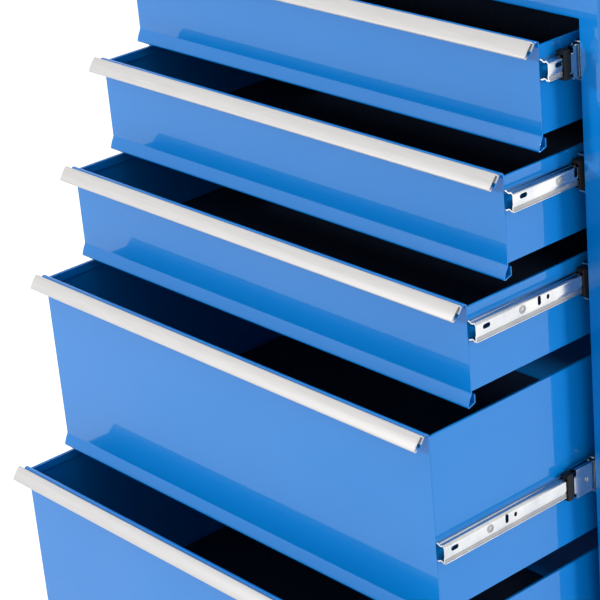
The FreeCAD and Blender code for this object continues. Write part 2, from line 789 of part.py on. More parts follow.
upright_line = [
    (inside, upright_front),
    (half_opening, upright_front),
    (half_opening, upright_back),
    (inside, upright_back),
]
upright = bent_sheet(
    "Upright", FreeCAD.Rotation(), upright_line, skin, (0, 0, 1),
    case_height - size("BaseFlange"))
uprights = name_node(group("Uprights", [upright, mirror("UprightLeft", upright)]), "rear_uprights")
set_in_case(uprights, 0, 0, case_base + size("BaseFlange"))

top_panel = new_body("TopPanel")
pad(top_panel, "XY", [rectangle(-half_case, half_case, as_size(0), size("CaseDepth"))],
    size("TopHeight"))
rim = size("TopRim")
pocket(top_panel, "XY", [rectangle(
    -half_case + rim, half_case - rim, rim, size("CaseDepth") - rim)],
    size("TopHeight") - skin, offset=skin, back=True)
round_edges(top_panel, size("FrameBend"), lambda edge: along(edge, "z") and all(
    abs(abs(v.X) - half_case.number) < 1e-3 for v in edge.Vertexes))
chamfer_edges(top_panel, size("TopHeight") / 4, lambda edge: all(
    abs(v.Z - size("TopHeight").number) < 1e-3 and (
        abs(abs(v.X) - half_case.number) < size("FrameBend").number + 1e-3
        and (v.Y < size("FrameBend").number + 1e-3
             or v.Y > size("CaseDepth").number - size("FrameBend").number - 1e-3))
    for v in edge.Vertexes))
set_in_case(name_node(top_panel, "top_panel"), 0, 0, case_top)

mat_margin = rim + size("MatGap")
name_node(box(
    "TopMat", middle_x - half_case + mat_margin, middle_x + half_case - mat_margin,
    face_y + mat_margin, face_y + size("CaseDepth") - mat_margin,
    case_top + skin, case_top + skin + size("MatSheet")), "top_mat")

# ---- push handle on the right side ----

grip_x = half_case + size("HandleReach")
near_y = size("HandleInset")
far_y = size("CaseDepth") - size("HandleInset")
tube = size("HandleRadius")
socket = tube + size("SocketWall")
half_arm = size("BracketArm") / 2
handle = name_node(group("Handle", [cylinder(
    "HandleTube", tube, far_y - near_y, grip_x, near_y, 0, ALONG_Y)]), "side_handle")
set_in_case(handle, 0, 0, size("HandleHeight"))


def handle_bracket(name, y, inward):
    """A cast bracket: a foot on the case, an arm and a socket that holds the tube's end.
    Its parts lie at y in depth, and the socket opens towards inward."""
    body = new_body(name)
    foot_x = half_case + size("BracketSheet")
    near, far = y - half_arm * inward, y + half_arm * inward
    outline = [
        (half_case, near - size("BracketFoot") / 4 * inward),
        (half_case, far + size("BracketFoot") / 2 * inward),
        (foot_x, far + size("BracketFoot") / 2 * inward),
        (foot_x + size("HandleReach") / 3, far),
        (grip_x + socket, far),
        (grip_x + socket, near + size("SocketWall") * inward),
        (grip_x + socket - size("SocketWall"), near),
        (grip_x - socket, near),
        (foot_x, near - size("BracketFoot") / 4 * inward),
    ]
    pad(body, "XY", [outline if inward > 0 else outline[::-1]],
        size("BracketHigh"), middle=True)
    floor = near + size("SocketCap") * inward
    pocket(body, "XZ", [], size("BracketArm") * 2, circles=[
        (grip_x, 0, tube + size("RunningGap"))], offset=-floor, back=inward < 0)
    return body


feet = [handle_bracket("NearBracket", near_y, 1), handle_bracket("FarBracket", far_y, -1)]
set_in_case(name_node(group("HandleFeet", feet), "handle_feet"), 0, 0, size("HandleHeight"))

# ---- lock in the top rail, modelled about its axis at the rail's face ----

sleeve_flange = cylinder(
    "LockFlange", size("LockFlange"), size("LockFlangeHeight"),
    0, -size("LockFlangeHeight"), 0, ALONG_Y)
sleeve_barrel = hexagon("LockBarrel", size("LockRadius"), size("LockLength"), 0, 0, 0, ALONG_Y)
plug_bore = size("PlugRadius") + size("RunningGap")
plug_hole = cylinder(
    "PlugHole", plug_bore, size("LockLength") * 2, 0, -size("LockFlange"), 0, ALONG_Y)
sleeve = cut("LockSleeve", fuse("LockShell", [sleeve_flange, sleeve_barrel]), plug_hole)
set_in_case(name_node(sleeve, "lock_sleeve"), 0, 0, case_base + lock_z)

cam_y = size("LockLength") + size("SeatGap")
plug_rod = cylinder(
    "PlugRod", size("PlugRadius"), size("LockFlangeHeight") + cam_y,
    0, -size("LockFlangeHeight"), 0, ALONG_Y)
cam = box(
    "LockCam", -size("CamWidth") / 2, size("CamReach"), cam_y, cam_y + size("CamSheet"),
    -size("CamWidth") / 2, size("CamWidth") / 2)
key_slot = box(
    "KeySlot", -size("KeyWidth") / 2, size("KeyWidth") / 2,
    -size("LockFlangeHeight") * 2, size("KeyDepth") - size("LockFlangeHeight"),
    -size("KeyHeight") / 2, size("KeyHeight") / 2)
plug = cut("LockPlug", fuse("PlugAndCam", [plug_rod, cam]), key_slot)
set_in_case(name_node(plug, "lock_plug"), 0, 0, case_base + lock_z)

# ---- casters, modelled about the centre of the plate's top ----

inner_width = size("WheelWidth") + size("ForkGap") * 2
fork_width = inner_width + size("ForkSheet") * 2
axle_z = size("WheelRadius") - size("CasterHeight")


def fork(name, crown, trail):
    """A U-shaped fork. Its crown is at Z = crown, and its eyes are behind by trail."""
    body = new_body(name)
    half, eye = size("ForkHalf"), size("ForkEye")
    outline = [
        (half, crown),
        (-half, crown),
        (-half - (trail - eye) / 4, crown - half),
        (-trail - eye, axle_z + eye * 0.4),
        (-trail - eye, axle_z - eye * 0.4),
        (-trail - eye * 0.4, axle_z - eye),
        (-trail + eye * 0.4, axle_z - eye),
        (-trail + eye, axle_z - eye * 0.4),
        (half, crown - eye),
    ]
    pad(body, "XZ", [outline], fork_width, middle=True)
    reach = size("WheelRadius") * 3
    pocket(body, "XZ", [rectangle(
        -reach, reach, axle_z - reach, crown - size("ForkSheet"))],
        inner_width, middle=True)
    return body


def axle(name, trail):
    rod = cylinder(
        f"{name}Rod", size("AxleRadius"), fork_width, -trail, -fork_width / 2, axle_z, ALONG_Y)
    heads = [
        hexagon(f"{name}{side}Head", size("AxleHead"), size("AxleHeadHeight"),
                -trail, y, axle_z, ALONG_Y)
        for side, y in (("Near", -fork_width / 2 - size("AxleHeadHeight")),
                        ("Far", fork_width / 2))
    ]
    return fuse(name, [rod] + heads)


plate_box = box(
    "PlateBox", -size("PlateLength") / 2, size("PlateLength") / 2,
    -size("PlateWidth") / 2, size("PlateWidth") / 2, -size("PlateSheet"), 0)

# The rigid caster: plate, fork and axle are riveted to one piece.
rigid_fork = fork("RigidFork", -size("PlateSheet"), as_size(0))
rigid_caster = fuse("RigidCaster", [plate_box, rigid_fork, axle("RigidAxle", as_size(0))])

# The swivel caster: a plate with its ball head and king pin, and a fork that turns on it.
head_low = -size("PlateSheet") - size("RaceHeadHeight")
crown_top = head_low - size("SeatGap")
crown_low = crown_top - size("ForkSheet")
ball_head = cylinder("BallHead", size("RaceHead"), size("RaceHeadHeight"), 0, 0, head_low)
king_pin = cylinder(
    "KingPin", size("KingPin"), head_low - crown_low + size("SeatGap"),
    0, 0, crown_low - size("SeatGap"))
king_head = hexagon(
    "KingHead", size("KingHead"), size("ForkSheet"),
    0, 0, crown_low - size("SeatGap") - size("ForkSheet"))
swivel_plate = fuse("SwivelPlate", [plate_box, ball_head, king_pin, king_head])

brake_x = -size("BrakePivot")
brake_z = crown_low - size("BrakeDrop")
swivel_fork = fork("SwivelFork", crown_top, size("CasterTrail"))
pocket(swivel_fork, "XY", [], size("ForkSheet") * 2, circles=[
    (0, 0, size("KingPin") + size("RunningGap"))],
    offset=crown_top + size("ForkSheet") / 2)
pocket(swivel_fork, "XZ", [], fork_width * 2, circles=[
    (brake_x, brake_z, size("BrakePin") + size("RunningGap"))], middle=True)
swivel_shape = fuse("SwivelShape", [swivel_fork, axle("SwivelAxle", size("CasterTrail"))])

brake = new_body("Brake")
hub, thick = size("BrakeHub"), size("BrakeSheet")
bend_x = brake_x - size("BrakeReach")
pedal_x = bend_x - size("BrakePedal")
pad(brake, "XZ", [[
    (brake_x + hub, brake_z),
    (brake_x + hub * 0.6, brake_z + hub * 0.8),
    (bend_x, brake_z + hub * 0.8),
    (pedal_x, brake_z + hub * 0.8 - size("BrakePedal") / 2),
    (pedal_x, brake_z + hub * 0.8 - size("BrakePedal") / 2 - thick),
    (bend_x, brake_z + hub * 0.8 - thick),
    (brake_x - hub, brake_z + hub * 0.8 - thick),
    (brake_x - hub * 0.6, brake_z - hub * 0.8),
    (brake_x + hub * 0.6, brake_z - hub * 0.8),
]], inner_width - size("SeatGap") * 2, middle=True)
pad(brake, "XZ", [], fork_width, circles=[(brake_x, brake_z, size("BrakePin"))], middle=True)

wheel = new_body("Wheel")
bore = size("AxleRadius") + size("RunningGap")
half_width = size("WheelWidth") / 2
hub_half = half_width + size("ForkGap") - size("SeatGap")
wheel_sketch = sketch_on(wheel, "XY", [[
    (bore, -hub_half),
    (size("HubRadius"), -hub_half),
    (size("HubRadius"), -half_width),
    (size("WheelRadius"), -half_width),
    (size("WheelRadius"), half_width),
    (size("HubRadius"), half_width),
    (size("HubRadius"), hub_half),
    (bore, hub_half),
]])
tyre = wheel.newObject("PartDesign::Revolution", "WheelTurn")
tyre.Profile = wheel_sketch
tyre.ReferenceAxis = (wheel_sketch, ["V_Axis"])
tyre.Angle = 360
wheel.Tip = tyre

caster_x = half_case - size("CasterInset")
caster_ys = (("front", size("CasterFront")), ("rear", size("CaseDepth") - size("CasterRear")))
for end, y in caster_ys:
    title = end.capitalize()
    rigid = name_node(group(f"Rigid{title}", [rigid_caster]), f"caster_left_{end}_bracket")
    set_in_case(rigid, -caster_x, y, case_base)
    left = name_node(group(f"LeftWheel{title}", [wheel]), f"caster_left_{end}_wheel")
    set_in_case(left, -caster_x, y, case_base + axle_z)
    plate = name_node(group(f"Plate{title}", [swivel_plate]), f"caster_right_{end}_plate")
    set_in_case(plate, caster_x, y, case_base)
    turning = name_node(group(f"Fork{title}", [swivel_shape]), f"caster_right_{end}_fork")
    set_in_case(turning, caster_x, y, case_base)
    right = name_node(group(f"RightWheel{title}", [wheel]), f"caster_right_{end}_wheel")
    set_in_case(right, caster_x - size("CasterTrail"), y, case_base + axle_z)
    lever = name_node(group(f"Brake{title}", [brake]), f"caster_right_{end}_brake")
    set_in_case(lever, caster_x, y, case_base)

# ---- check and write ----

doc.recompute()
faults = [
    f"{obj.Name}: {obj.State}" for obj in doc.Objects
    if "Invalid" in obj.State or "Error" in obj.State
]
for before, after in cuts:
    if not after.Shape.Volume < before.Shape.Volume:
        faults.append(f"{after.Name} takes nothing away")
for name, obj in nodes.items():
    if obj.Shape.isNull() or not obj.Shape.isValid() or not obj.Shape.Solids:
        faults.append(f"{name}: no valid solid")
if faults:
    raise RuntimeError("; ".join(faults))

os.makedirs("parts", exist_ok=True)
for name, obj in nodes.items():
    obj.Shape.exportStep(f"parts/{name}.step")
print(f"{len(nodes)} pieces written")
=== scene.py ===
import bmesh
import bpy
import json
import math
from mathutils import Matrix, Vector


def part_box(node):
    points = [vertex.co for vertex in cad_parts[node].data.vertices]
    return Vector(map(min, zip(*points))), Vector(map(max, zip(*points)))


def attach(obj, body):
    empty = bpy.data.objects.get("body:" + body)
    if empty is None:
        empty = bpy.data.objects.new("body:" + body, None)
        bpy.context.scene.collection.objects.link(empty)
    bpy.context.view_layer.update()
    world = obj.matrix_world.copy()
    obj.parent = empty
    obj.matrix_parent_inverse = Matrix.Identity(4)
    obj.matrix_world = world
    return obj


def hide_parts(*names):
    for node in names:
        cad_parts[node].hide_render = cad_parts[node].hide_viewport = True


# The visible surface of the rolling tool cabinet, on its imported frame. Lengths are in metres,
# with X to the right of the drawers, Y to the back and Z up from the floor.

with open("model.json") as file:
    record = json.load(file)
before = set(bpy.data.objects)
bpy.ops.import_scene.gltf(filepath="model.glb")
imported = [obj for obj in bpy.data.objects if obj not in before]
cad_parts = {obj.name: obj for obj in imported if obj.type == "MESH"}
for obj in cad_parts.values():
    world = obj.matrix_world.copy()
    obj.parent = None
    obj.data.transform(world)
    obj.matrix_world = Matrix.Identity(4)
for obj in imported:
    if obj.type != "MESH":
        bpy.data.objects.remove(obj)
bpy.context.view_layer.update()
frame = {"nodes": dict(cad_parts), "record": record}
MM = 0.001


# Modelling by hand


def lay_down():
    """Leave edit mode with nothing selected."""
    if bpy.context.object is not None and bpy.context.object.mode == "EDIT":
        bpy.ops.object.mode_set(mode="OBJECT")
    bpy.ops.object.select_all(action="DESELECT")


def take(piece):
    lay_down()
    piece.select_set(True)
    bpy.context.view_layer.objects.active = piece
    return piece


def settle(name):
    """Name the new primitive and put its place into its mesh."""
    piece = bpy.context.object
    piece.name = piece.data.name = name
    bpy.ops.object.transform_apply(location=True, rotation=True, scale=True)
    return piece


def edit(piece, kind, test):
    """Open the piece with the faces, edges or points that the test picks selected."""
    take(piece)
    bpy.ops.object.mode_set(mode="EDIT")
    modes = {"faces": "FACE", "edges": "EDGE", "verts": "VERT"}
    bpy.ops.mesh.select_mode(type=modes[kind])
    bpy.ops.mesh.select_all(action="DESELECT")
    mesh = bmesh.from_edit_mesh(piece.data)
    for part in getattr(mesh, kind):
        if test(part):
            part.select_set(True)
    mesh.select_flush_mode()
    bmesh.update_edit_mesh(piece.data)
    return piece


def middle(edge):
    return (edge.verts[0].co + edge.verts[1].co) / 2


def runs(edge, axis, longer=MM):
    """Whether the edge spans more than a length along an axis."""
    way = "xyz".index(axis)
    return abs(edge.verts[0].co[way] - edge.verts[1].co[way]) > longer


def at_height(edge, z):
    return near(edge.verts[0].co.z, z) and near(edge.verts[1].co.z, z)


def at_round_end(edge):
    """Whether the edge belongs to the flat end of a round bar."""
    return any(len(f.verts) > 4 for f in edge.link_faces)


def near(value, target, room=2e-5):
    return abs(value - target) < room


def round_edges(piece, width, steps, test):
    """Bevel the edges that the test picks."""
    edit(piece, "edges", test)
    bpy.ops.mesh.bevel(offset=width, segments=steps, affect="EDGES")
    lay_down()


def block(name, low, high, soft=0.0, steps=2):
    """A block between two corners, with its edges eased."""
    lay_down()
    low, high = Vector(low), Vector(high)
    bpy.ops.mesh.primitive_cube_add(size=1, location=(low + high) / 2, scale=high - low)
    piece = settle(name)
    if soft:
        round_edges(piece, soft, steps, lambda e: True)
    return piece


TO_AXIS = {"x": (0, math.pi / 2, 0), "y": (math.pi / 2, 0, 0), "z": (0, 0, 0)}


def rod(name, middle_point, radius, length, axis, sides=48, soft=0.0, steps=2):
    """A round bar along an axis, with its end edges eased."""
    lay_down()
    bpy.ops.mesh.primitive_cylinder_add(
        vertices=sides, radius=radius, depth=length, location=middle_point,
        rotation=TO_AXIS[axis])
    piece = settle(name)
    if soft:
        round_edges(piece, soft, steps, at_round_end)
    return piece


def end_face(piece, axis, sign, inset, depth):
    """Inset the round end that faces an axis and sink or raise what is inside."""
    way = "xyz".index(axis)
    top = max(v.co[way] * sign for v in piece.data.vertices)
    edit(piece, "faces", lambda f: f.normal[way] * sign > 0.99 and near(
        f.calc_center_median()[way] * sign, top, 1e-4) and len(f.verts) > 4)
    bpy.ops.mesh.inset(thickness=inset)
    push = [0, 0, 0]
    push[way] = depth * sign
    bpy.ops.mesh.extrude_region_move(TRANSFORM_OT_translate={"value": push})
    lay_down()
    return piece


def fold(name, across, low, high, start, moves):
    """Sheet folded along a line, and spanning low to high on the axis across. The line is
    given on the other two axes: a run is (a, b) to its next point, a bend is
    (centre_a, centre_b, degrees, steps)."""
    axes = {"x": (1, 2), "y": (0, 2), "z": (0, 1)}[across]
    span = Vector([1.0 if n == across else 0.0 for n in "xyz"])

    def at(point):
        spot = Vector((0, 0, 0))
        spot[axes[0]], spot[axes[1]] = point[0], point[1]
        return spot

    begin, end = at(start), at(moves[0])
    run = (end - begin).normalized()
    turn = Matrix((span, run, span.cross(run))).transposed()
    lay_down()
    bpy.ops.mesh.primitive_plane_add(
        size=1, location=(begin + end) / 2 + span * (low + high) / 2,
        rotation=turn.to_euler())
    bpy.context.object.scale = (high - low, (end - begin).length, 1)
    piece = settle(name)
    edit(piece, "edges", lambda e: (middle(e) - end - span * (low + high) / 2).length < 1e-6)
    here = end
    for move in moves[1:]:
        if len(move) == 2:
            there = at(move)
            bpy.ops.mesh.extrude_region_move(
                TRANSFORM_OT_translate={"value": there - here})
        else:
            centre = at(move)
            angle = math.radians(move[2])
            bpy.ops.mesh.spin(
                steps=move[3], angle=-angle, center=centre, axis=span)
            there = centre + Matrix.Rotation(angle, 3, span) @ (here - centre)
        here = there
    lay_down()
    return piece


def ease_folds(piece, radius, steps=3, sharper_than=20):
    """Round the folds of a sheet."""
    limit = math.radians(sharper_than)
    round_edges(piece, radius, steps,
                lambda e: len(e.link_faces) == 2 and e.calc_face_angle(0) > limit)
    return piece


def add_modifier(piece, kind, **settings):
    take(piece)
    modifier = piece.modifiers.new(kind.title(), kind)
    for key, value in settings.items():
        setattr(modifier, key, value)
    bpy.ops.object.modifier_apply(modifier=modifier.name)
    lay_down()
    return piece


def thicken(piece, thickness, side=-1):
    """Give a sheet its thickness on the side away from its faces, or on both sides."""
    return add_modifier(piece, "SOLIDIFY", thickness=thickness, offset=side)


def soften(piece, width, steps=2, angle=40):
    return add_modifier(
        piece, "BEVEL", width=width, segments=steps, limit_method="ANGLE",
        angle_limit=math.radians(angle), harden_normals=False)


def carve(piece, tool, solver="EXACT"):
    """Cut the tool's shape out of the piece."""
    add_modifier(piece, "BOOLEAN", object=tool, operation="DIFFERENCE", solver=solver)
    bpy.data.objects.remove(tool)
    return piece


def unite(pieces, name):
    """The pieces made one solid."""
    base = pieces[0]
    for piece in pieces[1:]:
        add_modifier(base, "BOOLEAN", object=piece, operation="UNION", solver="EXACT")
        bpy.data.objects.remove(piece)
    base.name = base.data.name = name
    return base


def join(pieces, name):
    lay_down()
    for piece in pieces:
        piece.select_set(True)
    bpy.context.view_layer.objects.active = pieces[0]
    if len(pieces) > 1:
        bpy.ops.object.join()
    piece = bpy.context.object
    piece.name = piece.data.name = name
    lay_down()
    return piece


def copy(piece, name, change):
    """A copy with its own mesh, moved, turned or mirrored."""
    twin = piece.copy()
    twin.data = piece.data.copy()
    twin.name = twin.data.name = name
    bpy.context.scene.collection.objects.link(twin)
    twin.data.transform(change)
    if change.determinant() < 0:
        twin.data.flip_normals()
    return twin


def shift(x=0.0, y=0.0, z=0.0):
    return Matrix.Translation((x, y, z))


def across_middle():
    """Mirror left to right about the cabinet's middle plane."""
    return shift(x=2 * mid_x) @ Matrix.Diagonal((-1, 1, 1, 1))


def smooth(piece, angle=35):
    take(piece)
    bpy.ops.object.shade_smooth_by_angle(angle=math.radians(angle))
    lay_down()
    return piece


# Finishes


class Wire:
    """What one socket of a finish carries. Sums on it add the nodes that work them out."""

    def __init__(self, finish, socket):
        self.finish, self.socket = finish, socket

    def sum(self, operation, first, second):
        if self.socket.type == "VECTOR":
            return self.finish.node(
                "ShaderNodeVectorMath", {"operation": operation}, first, second)[0]
        if self.socket.type == "RGBA":
            return self.finish.node(
                "ShaderNodeMix", {"data_type": "RGBA", "blend_type": operation},
                Factor=1.0, A_Color=first, B_Color=second)["Result_Color"]
        return self.finish.node("ShaderNodeMath", {"operation": operation}, first, second)[0]

    def __add__(self, other):
        return self.sum("ADD", self, other)

    def __radd__(self, other):
        return self.sum("ADD", other, self)

    def __sub__(self, other):
        return self.sum("SUBTRACT", self, other)

    def __rsub__(self, other):
        return self.sum("SUBTRACT", other, self)

    def __mul__(self, other):
        return self.sum("MULTIPLY", self, other)

    def __rmul__(self, other):
        return self.sum("MULTIPLY", other, self)

    def __truediv__(self, other):
        return self.sum("DIVIDE", self, other)

    def __pow__(self, other):
        return self.sum("POWER", self, other)


class Made:
    """A node of a finish. Its outputs are read by name or number."""

    def __init__(self, finish, node):
        self.finish, self.node = finish, node

    def __getitem__(self, key):
        return Wire(self.finish, socket_of(self.node.outputs, key))


def socket_of(sockets, key):
    if isinstance(key, int):
        return sockets[key]
    for socket in sockets:
        if socket.identifier == key and socket.enabled:
            return socket
    wanted = key.replace("_", " ")
    return next(s for s in sockets if s.name == wanted and s.enabled)


class Finish:
    """The nodes of a procedural material, or of the world."""

    def __init__(self, name, shelf=None):
        self.material = (bpy.data.materials if shelf is None else shelf).new(name)
        self.material.use_nodes = True
        self.tree = self.material.node_tree
        self.tree.nodes.clear()

    def node(self, kind, settings=None, *inputs, **named):
        made = self.tree.nodes.new(kind)
        for key, value in (settings or {}).items():
            setattr(made, key, value)
        for key, value in [*enumerate(inputs), *named.items()]:
            socket = socket_of(made.inputs, key)
            if isinstance(value, Wire):
                self.tree.links.new(value.socket, socket)
            elif isinstance(value, tuple) and socket.type == "RGBA":
                socket.default_value = (*value, 1)
            else:
                socket.default_value = value
        return Made(self, made)

    def place(self, stretch=(1, 1, 1)):
        """Object coordinates, stretched along the axes."""
        spot = self.node("ShaderNodeTexCoord")["Object"]
        return self.node("ShaderNodeMapping", None, Vector=spot, Scale=stretch)["Vector"]

    def noise(self, scale, detail=2.0, stretch=(1, 1, 1)):
        return self.node("ShaderNodeTexNoise", None, Vector=self.place(stretch),
                         Scale=scale, Detail=detail)["Fac"]

    def spread(self, wire, low, high, from_low=0.3, from_high=0.7):
        return self.node("ShaderNodeMapRange", None, wire, from_low, from_high, low, high)[0]

    def blend(self, factor, first, second):
        return self.node("ShaderNodeMix", {"data_type": "RGBA"}, Factor_Float=factor,
                         A_Color=first, B_Color=second)["Result_Color"]

    def bump(self, height, strength, distance):
        return self.node("ShaderNodeBump", None, Height=height, Strength=strength,
                         Distance=distance)["Normal"]

    def surface(self, **inputs):
        shader = self.node("ShaderNodeBsdfPrincipled", None, **inputs)
        self.node("ShaderNodeOutputMaterial", None, Surface=shader["BSDF"])


def powder_coat():
    coat = Finish("blue_powder_coat")
    cloud = coat.noise(3.2)
    peel = coat.noise(260, 2)
    coat.surface(
        Base_Color=coat.blend(coat.spread(cloud, 0, 1), (0.0, 0.192, 0.590), (0.0, 0.180, 0.565)),
        Roughness=coat.spread(peel, 0.34, 0.42),
        Specular_IOR_Level=0.12,
        Coat_Weight=coat.spread(coat.noise(7), 0.62, 0.70),
        Coat_Roughness=0.03,
        Coat_IOR=1.5,
        Normal=coat.bump(peel, 0.02, 0.0004))
    return coat.material


def pull_anodising():
    skin = Finish("satin_aluminium")
    brush = skin.noise(60, 4, (0.4, 14, 14))
    skin.surface(
        Base_Color=skin.blend(skin.spread(brush, 0, 1), (0.505, 0.495, 0.49),
                              (0.545, 0.537, 0.533)),
        Metallic=0.12,
        Roughness=skin.spread(brush, 0.34, 0.44),
        Specular_IOR_Level=0.25,
        Normal=skin.bump(brush, 0.04, 0.0003))
    return skin.material


def bright_zinc(name="bright_zinc", shade=1.0, along=(14, 0.4, 14), rough=0.12):
    zinc = Finish(name)
    draw = zinc.noise(45, 4, along)
    bloom = zinc.noise(38, 3)
    pale = tuple(v * shade for v in (0.70, 0.70, 0.69))
    deep = tuple(v * shade for v in (0.52, 0.54, 0.57))
    zinc.surface(
        Base_Color=zinc.blend(zinc.spread(bloom, 0, 1), pale, deep),
        Metallic=1.0,
        Roughness=zinc.spread(draw, rough, rough + 0.08),
        Normal=zinc.bump(draw, 0.04, 0.0002))
    return zinc.material


def chrome():
    plate = Finish("bright_chrome")
    haze = plate.noise(22, 2)
    plate.surface(
        Base_Color=plate.blend(haze, (0.80, 0.80, 0.81), (0.84, 0.84, 0.85)),
        Metallic=1.0,
        Roughness=plate.spread(haze, 0.05, 0.11))
    return plate.material


def foam_liner():
    foam = Finish("black_foam_liner")
    cells = foam.node("ShaderNodeTexVoronoi", None, Vector=foam.place(), Scale=420)["Distance"]
    foam.surface(
        # The foam is black; the blue tint in its colour is painted reflection of the blue drawer
        # walls.
        Base_Color=foam.blend(cells, (0.006, 0.012, 0.028), (0.011, 0.022, 0.048)),
        Roughness=foam.spread(cells, 0.5, 0.7),
        Specular_IOR_Level=0.3,
        Normal=foam.bump(cells, 0.35, 0.0006))
    return foam.material


def moulding(name, shade):
    plastic = Finish(name)
    grain = plastic.noise(900, 2)
    plastic.surface(
        Base_Color=plastic.blend(grain, (shade, shade, shade * 1.1),
                                 (shade * 2, shade * 2, shade * 2.15)),
        Roughness=plastic.spread(grain, 0.36, 0.48),
        Specular_IOR_Level=0.2,
        Normal=plastic.bump(grain, 0.12, 0.0003))
    return plastic.material


def rubber(name, pale, scale):
    gum = Finish(name)
    dust = gum.noise(scale, 4)
    gum.surface(
        Base_Color=gum.blend(gum.spread(dust, 0, 1), (pale, pale, pale * 1.05),
                             (pale * 1.9, pale * 1.9, pale * 1.95)),
        Roughness=gum.spread(dust, 0.6, 0.8),
        Normal=gum.bump(gum.noise(1400, 2), 0.15, 0.0002))
    return gum.material


PAINT = powder_coat()
PULL = pull_anodising()
ZINC = bright_zinc()
SCREW = bright_zinc("screw_zinc", 0.55, (1, 1, 1), 0.3)
# Darker zinc: the brake levers' own finish, and also the painted dark reflection on the slide bands.
DARK_ZINC_AND_PAINTED_REFLECTION = bright_zinc("rolled_zinc", 0.55, (14, 0.4, 14), 0.3)
CHROME = chrome()
FOAM = foam_liner()
BLACK = moulding("black_moulding", 0.004)
MAT = rubber("ribbed_mat", 0.014, 60)
TYRE = rubber("tyre_rubber", 0.020, 90)
CORE = moulding("grey_wheel_core", 0.035)
FINISHES = {
    "blue_paint": PAINT, "pull_aluminium": PULL, "zinc_plate": ZINC, "chrome_plate": CHROME,
    "liner": FOAM, "cage_plastic": BLACK, "mat_rubber": MAT, "wheel_rubber": TYRE,
}


def dress(piece, material, body, stands_for=(), angle=35):
    """Finish a piece: its surface, the body it moves with and the node it stands for."""
    smooth(piece, angle)
    add_modifier(piece, "WEIGHTED_NORMAL", weight=100, keep_sharp=True)
    piece.data.materials.clear()
    piece.data.materials.append(material)
    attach(piece, body)
    if stands_for:
        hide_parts(*stands_for)
    return piece


for subpart in frame["record"]["subparts"]:
    node = frame["nodes"][subpart["node"]]
    node.data.materials.clear()
    node.data.materials.append(FINISHES[subpart["material_slot"]])

# Places, read from the frame

front_low, front_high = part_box("front_frame")
mid_x = (front_low.x + front_high.x) / 2
face = front_low.y
case_low, case_high = front_low.z, front_high.z
half_case = (front_high.x - front_low.x) / 2
_, side_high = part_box("right_side_panel")
back = side_high.y


class Drawer:
    """A drawer's places: its front's face and top, its box and its slides."""

    def __init__(self, number):
        self.number = number
        self.body = f"drawer_{number}"
        low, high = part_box(f"drawer_{number}_front")
        tray_low, tray_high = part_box(f"drawer_{number}_tray")
        rail_low, rail_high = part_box(f"drawer_{number}_rails")
        self.top = high.z
        self.face = tray_low.y - 1.2 * MM
        self.left, self.right = low.x, high.x
        self.back = tray_high.y
        self.flat_low = tray_low.z - 1.5 * MM
        self.tray_top, self.tray_low = tray_high.z, tray_low.z
        self.slide_z = (rail_low.z + rail_high.z) / 2
        self.rail_y = rail_low.y
        self.rail_end = rail_high.y
        middle_low, middle_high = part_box(f"slide_{number}_middle_rails")
        self.middle_y, self.middle_end = middle_low.y, middle_high.y


drawers = [Drawer(number) for number in range(1, 6)]

# Drawer fronts: one sheet with a rolled upper edge and a flared, hemmed lip

LEAN = (-0.6, -0.8)


def make_front(drawer):
    y, top, low = drawer.face, drawer.top, drawer.flat_low
    roll_y, roll_z = y - 1.8 * MM, top - 3.0 * MM
    end_y, end_z = y - 3.24 * MM, top - 1.92 * MM
    sheet = fold(
        f"drawer_{drawer.number}_front_sheet", "x", drawer.left, drawer.right,
        (y + 4.8 * MM, low - 2.2 * MM),
        [
            (y + 4.8 * MM, low - 10.7 * MM),
            (y - 3.2 * MM, low - 13.2 * MM),
            (y - 3.142 * MM, low - 11.401 * MM, -111.06, 6),
            (y - 3.3 * MM, low - 6.4 * MM),
            (y, low),
            (y, roll_z),
            (roll_y, roll_z, 143.13, 10),
            (end_y + 11 * MM * LEAN[0], end_z + 11 * MM * LEAN[1]),
        ])
    for place, radius in ((low, 0.7 * MM), (low - 10.7 * MM, 1.2 * MM)):
        round_edges(sheet, radius, 3, lambda e: near(
            middle(e).z, place) and middle(e).y > y - MM and runs(e, "x", 0.1))
    thicken(sheet, 1.2 * MM)
    soften(sheet, 0.25 * MM, 2, 60)
    return dress(sheet, PAINT, drawer.body, [f"drawer_{drawer.number}_front"])


# Pulls: a bright extrusion that grips the rolled edge


def lean(start, length, stand=0.0):
    return (start[0] - length * 0.6 - stand * 0.8, start[1] - length * 0.8 + stand * 0.6)


def make_pull(drawer):
    leg = (drawer.face - 4.2 * MM, drawer.top - 1.2 * MM)
    upper = lean(leg, 0, 5.2 * MM)
    lower = lean(upper, 15.9 * MM)
    heel = lean(lower, 0, -3.2 * MM)
    clip = lean(leg, 0.4 * MM)
    bow = [lean(upper, 15.9 * MM * (1 - t), 0.75 * MM * (1 - (2 * t - 1) ** 2))
           for t in (0.14, 0.29, 0.43, 0.57, 0.71, 0.86)]
    strip = fold(
        f"drawer_{drawer.number}_pull_strip", "x", drawer.left - 3.5 * MM, drawer.right,
        lean(heel, -2.4 * MM),
        [heel, lower, *bow, upper, clip, lean(clip, 7 * MM)])
    ease_folds(strip, 1.0 * MM, 4, 45)
    thicken(strip, 1.3 * MM)
    soften(strip, 0.2 * MM, 2, 60)
    return dress(strip, PULL, drawer.body, [f"drawer_{drawer.number}_pull"])


# Drawer boxes: folded walls with hemmed upper edges, and a liner


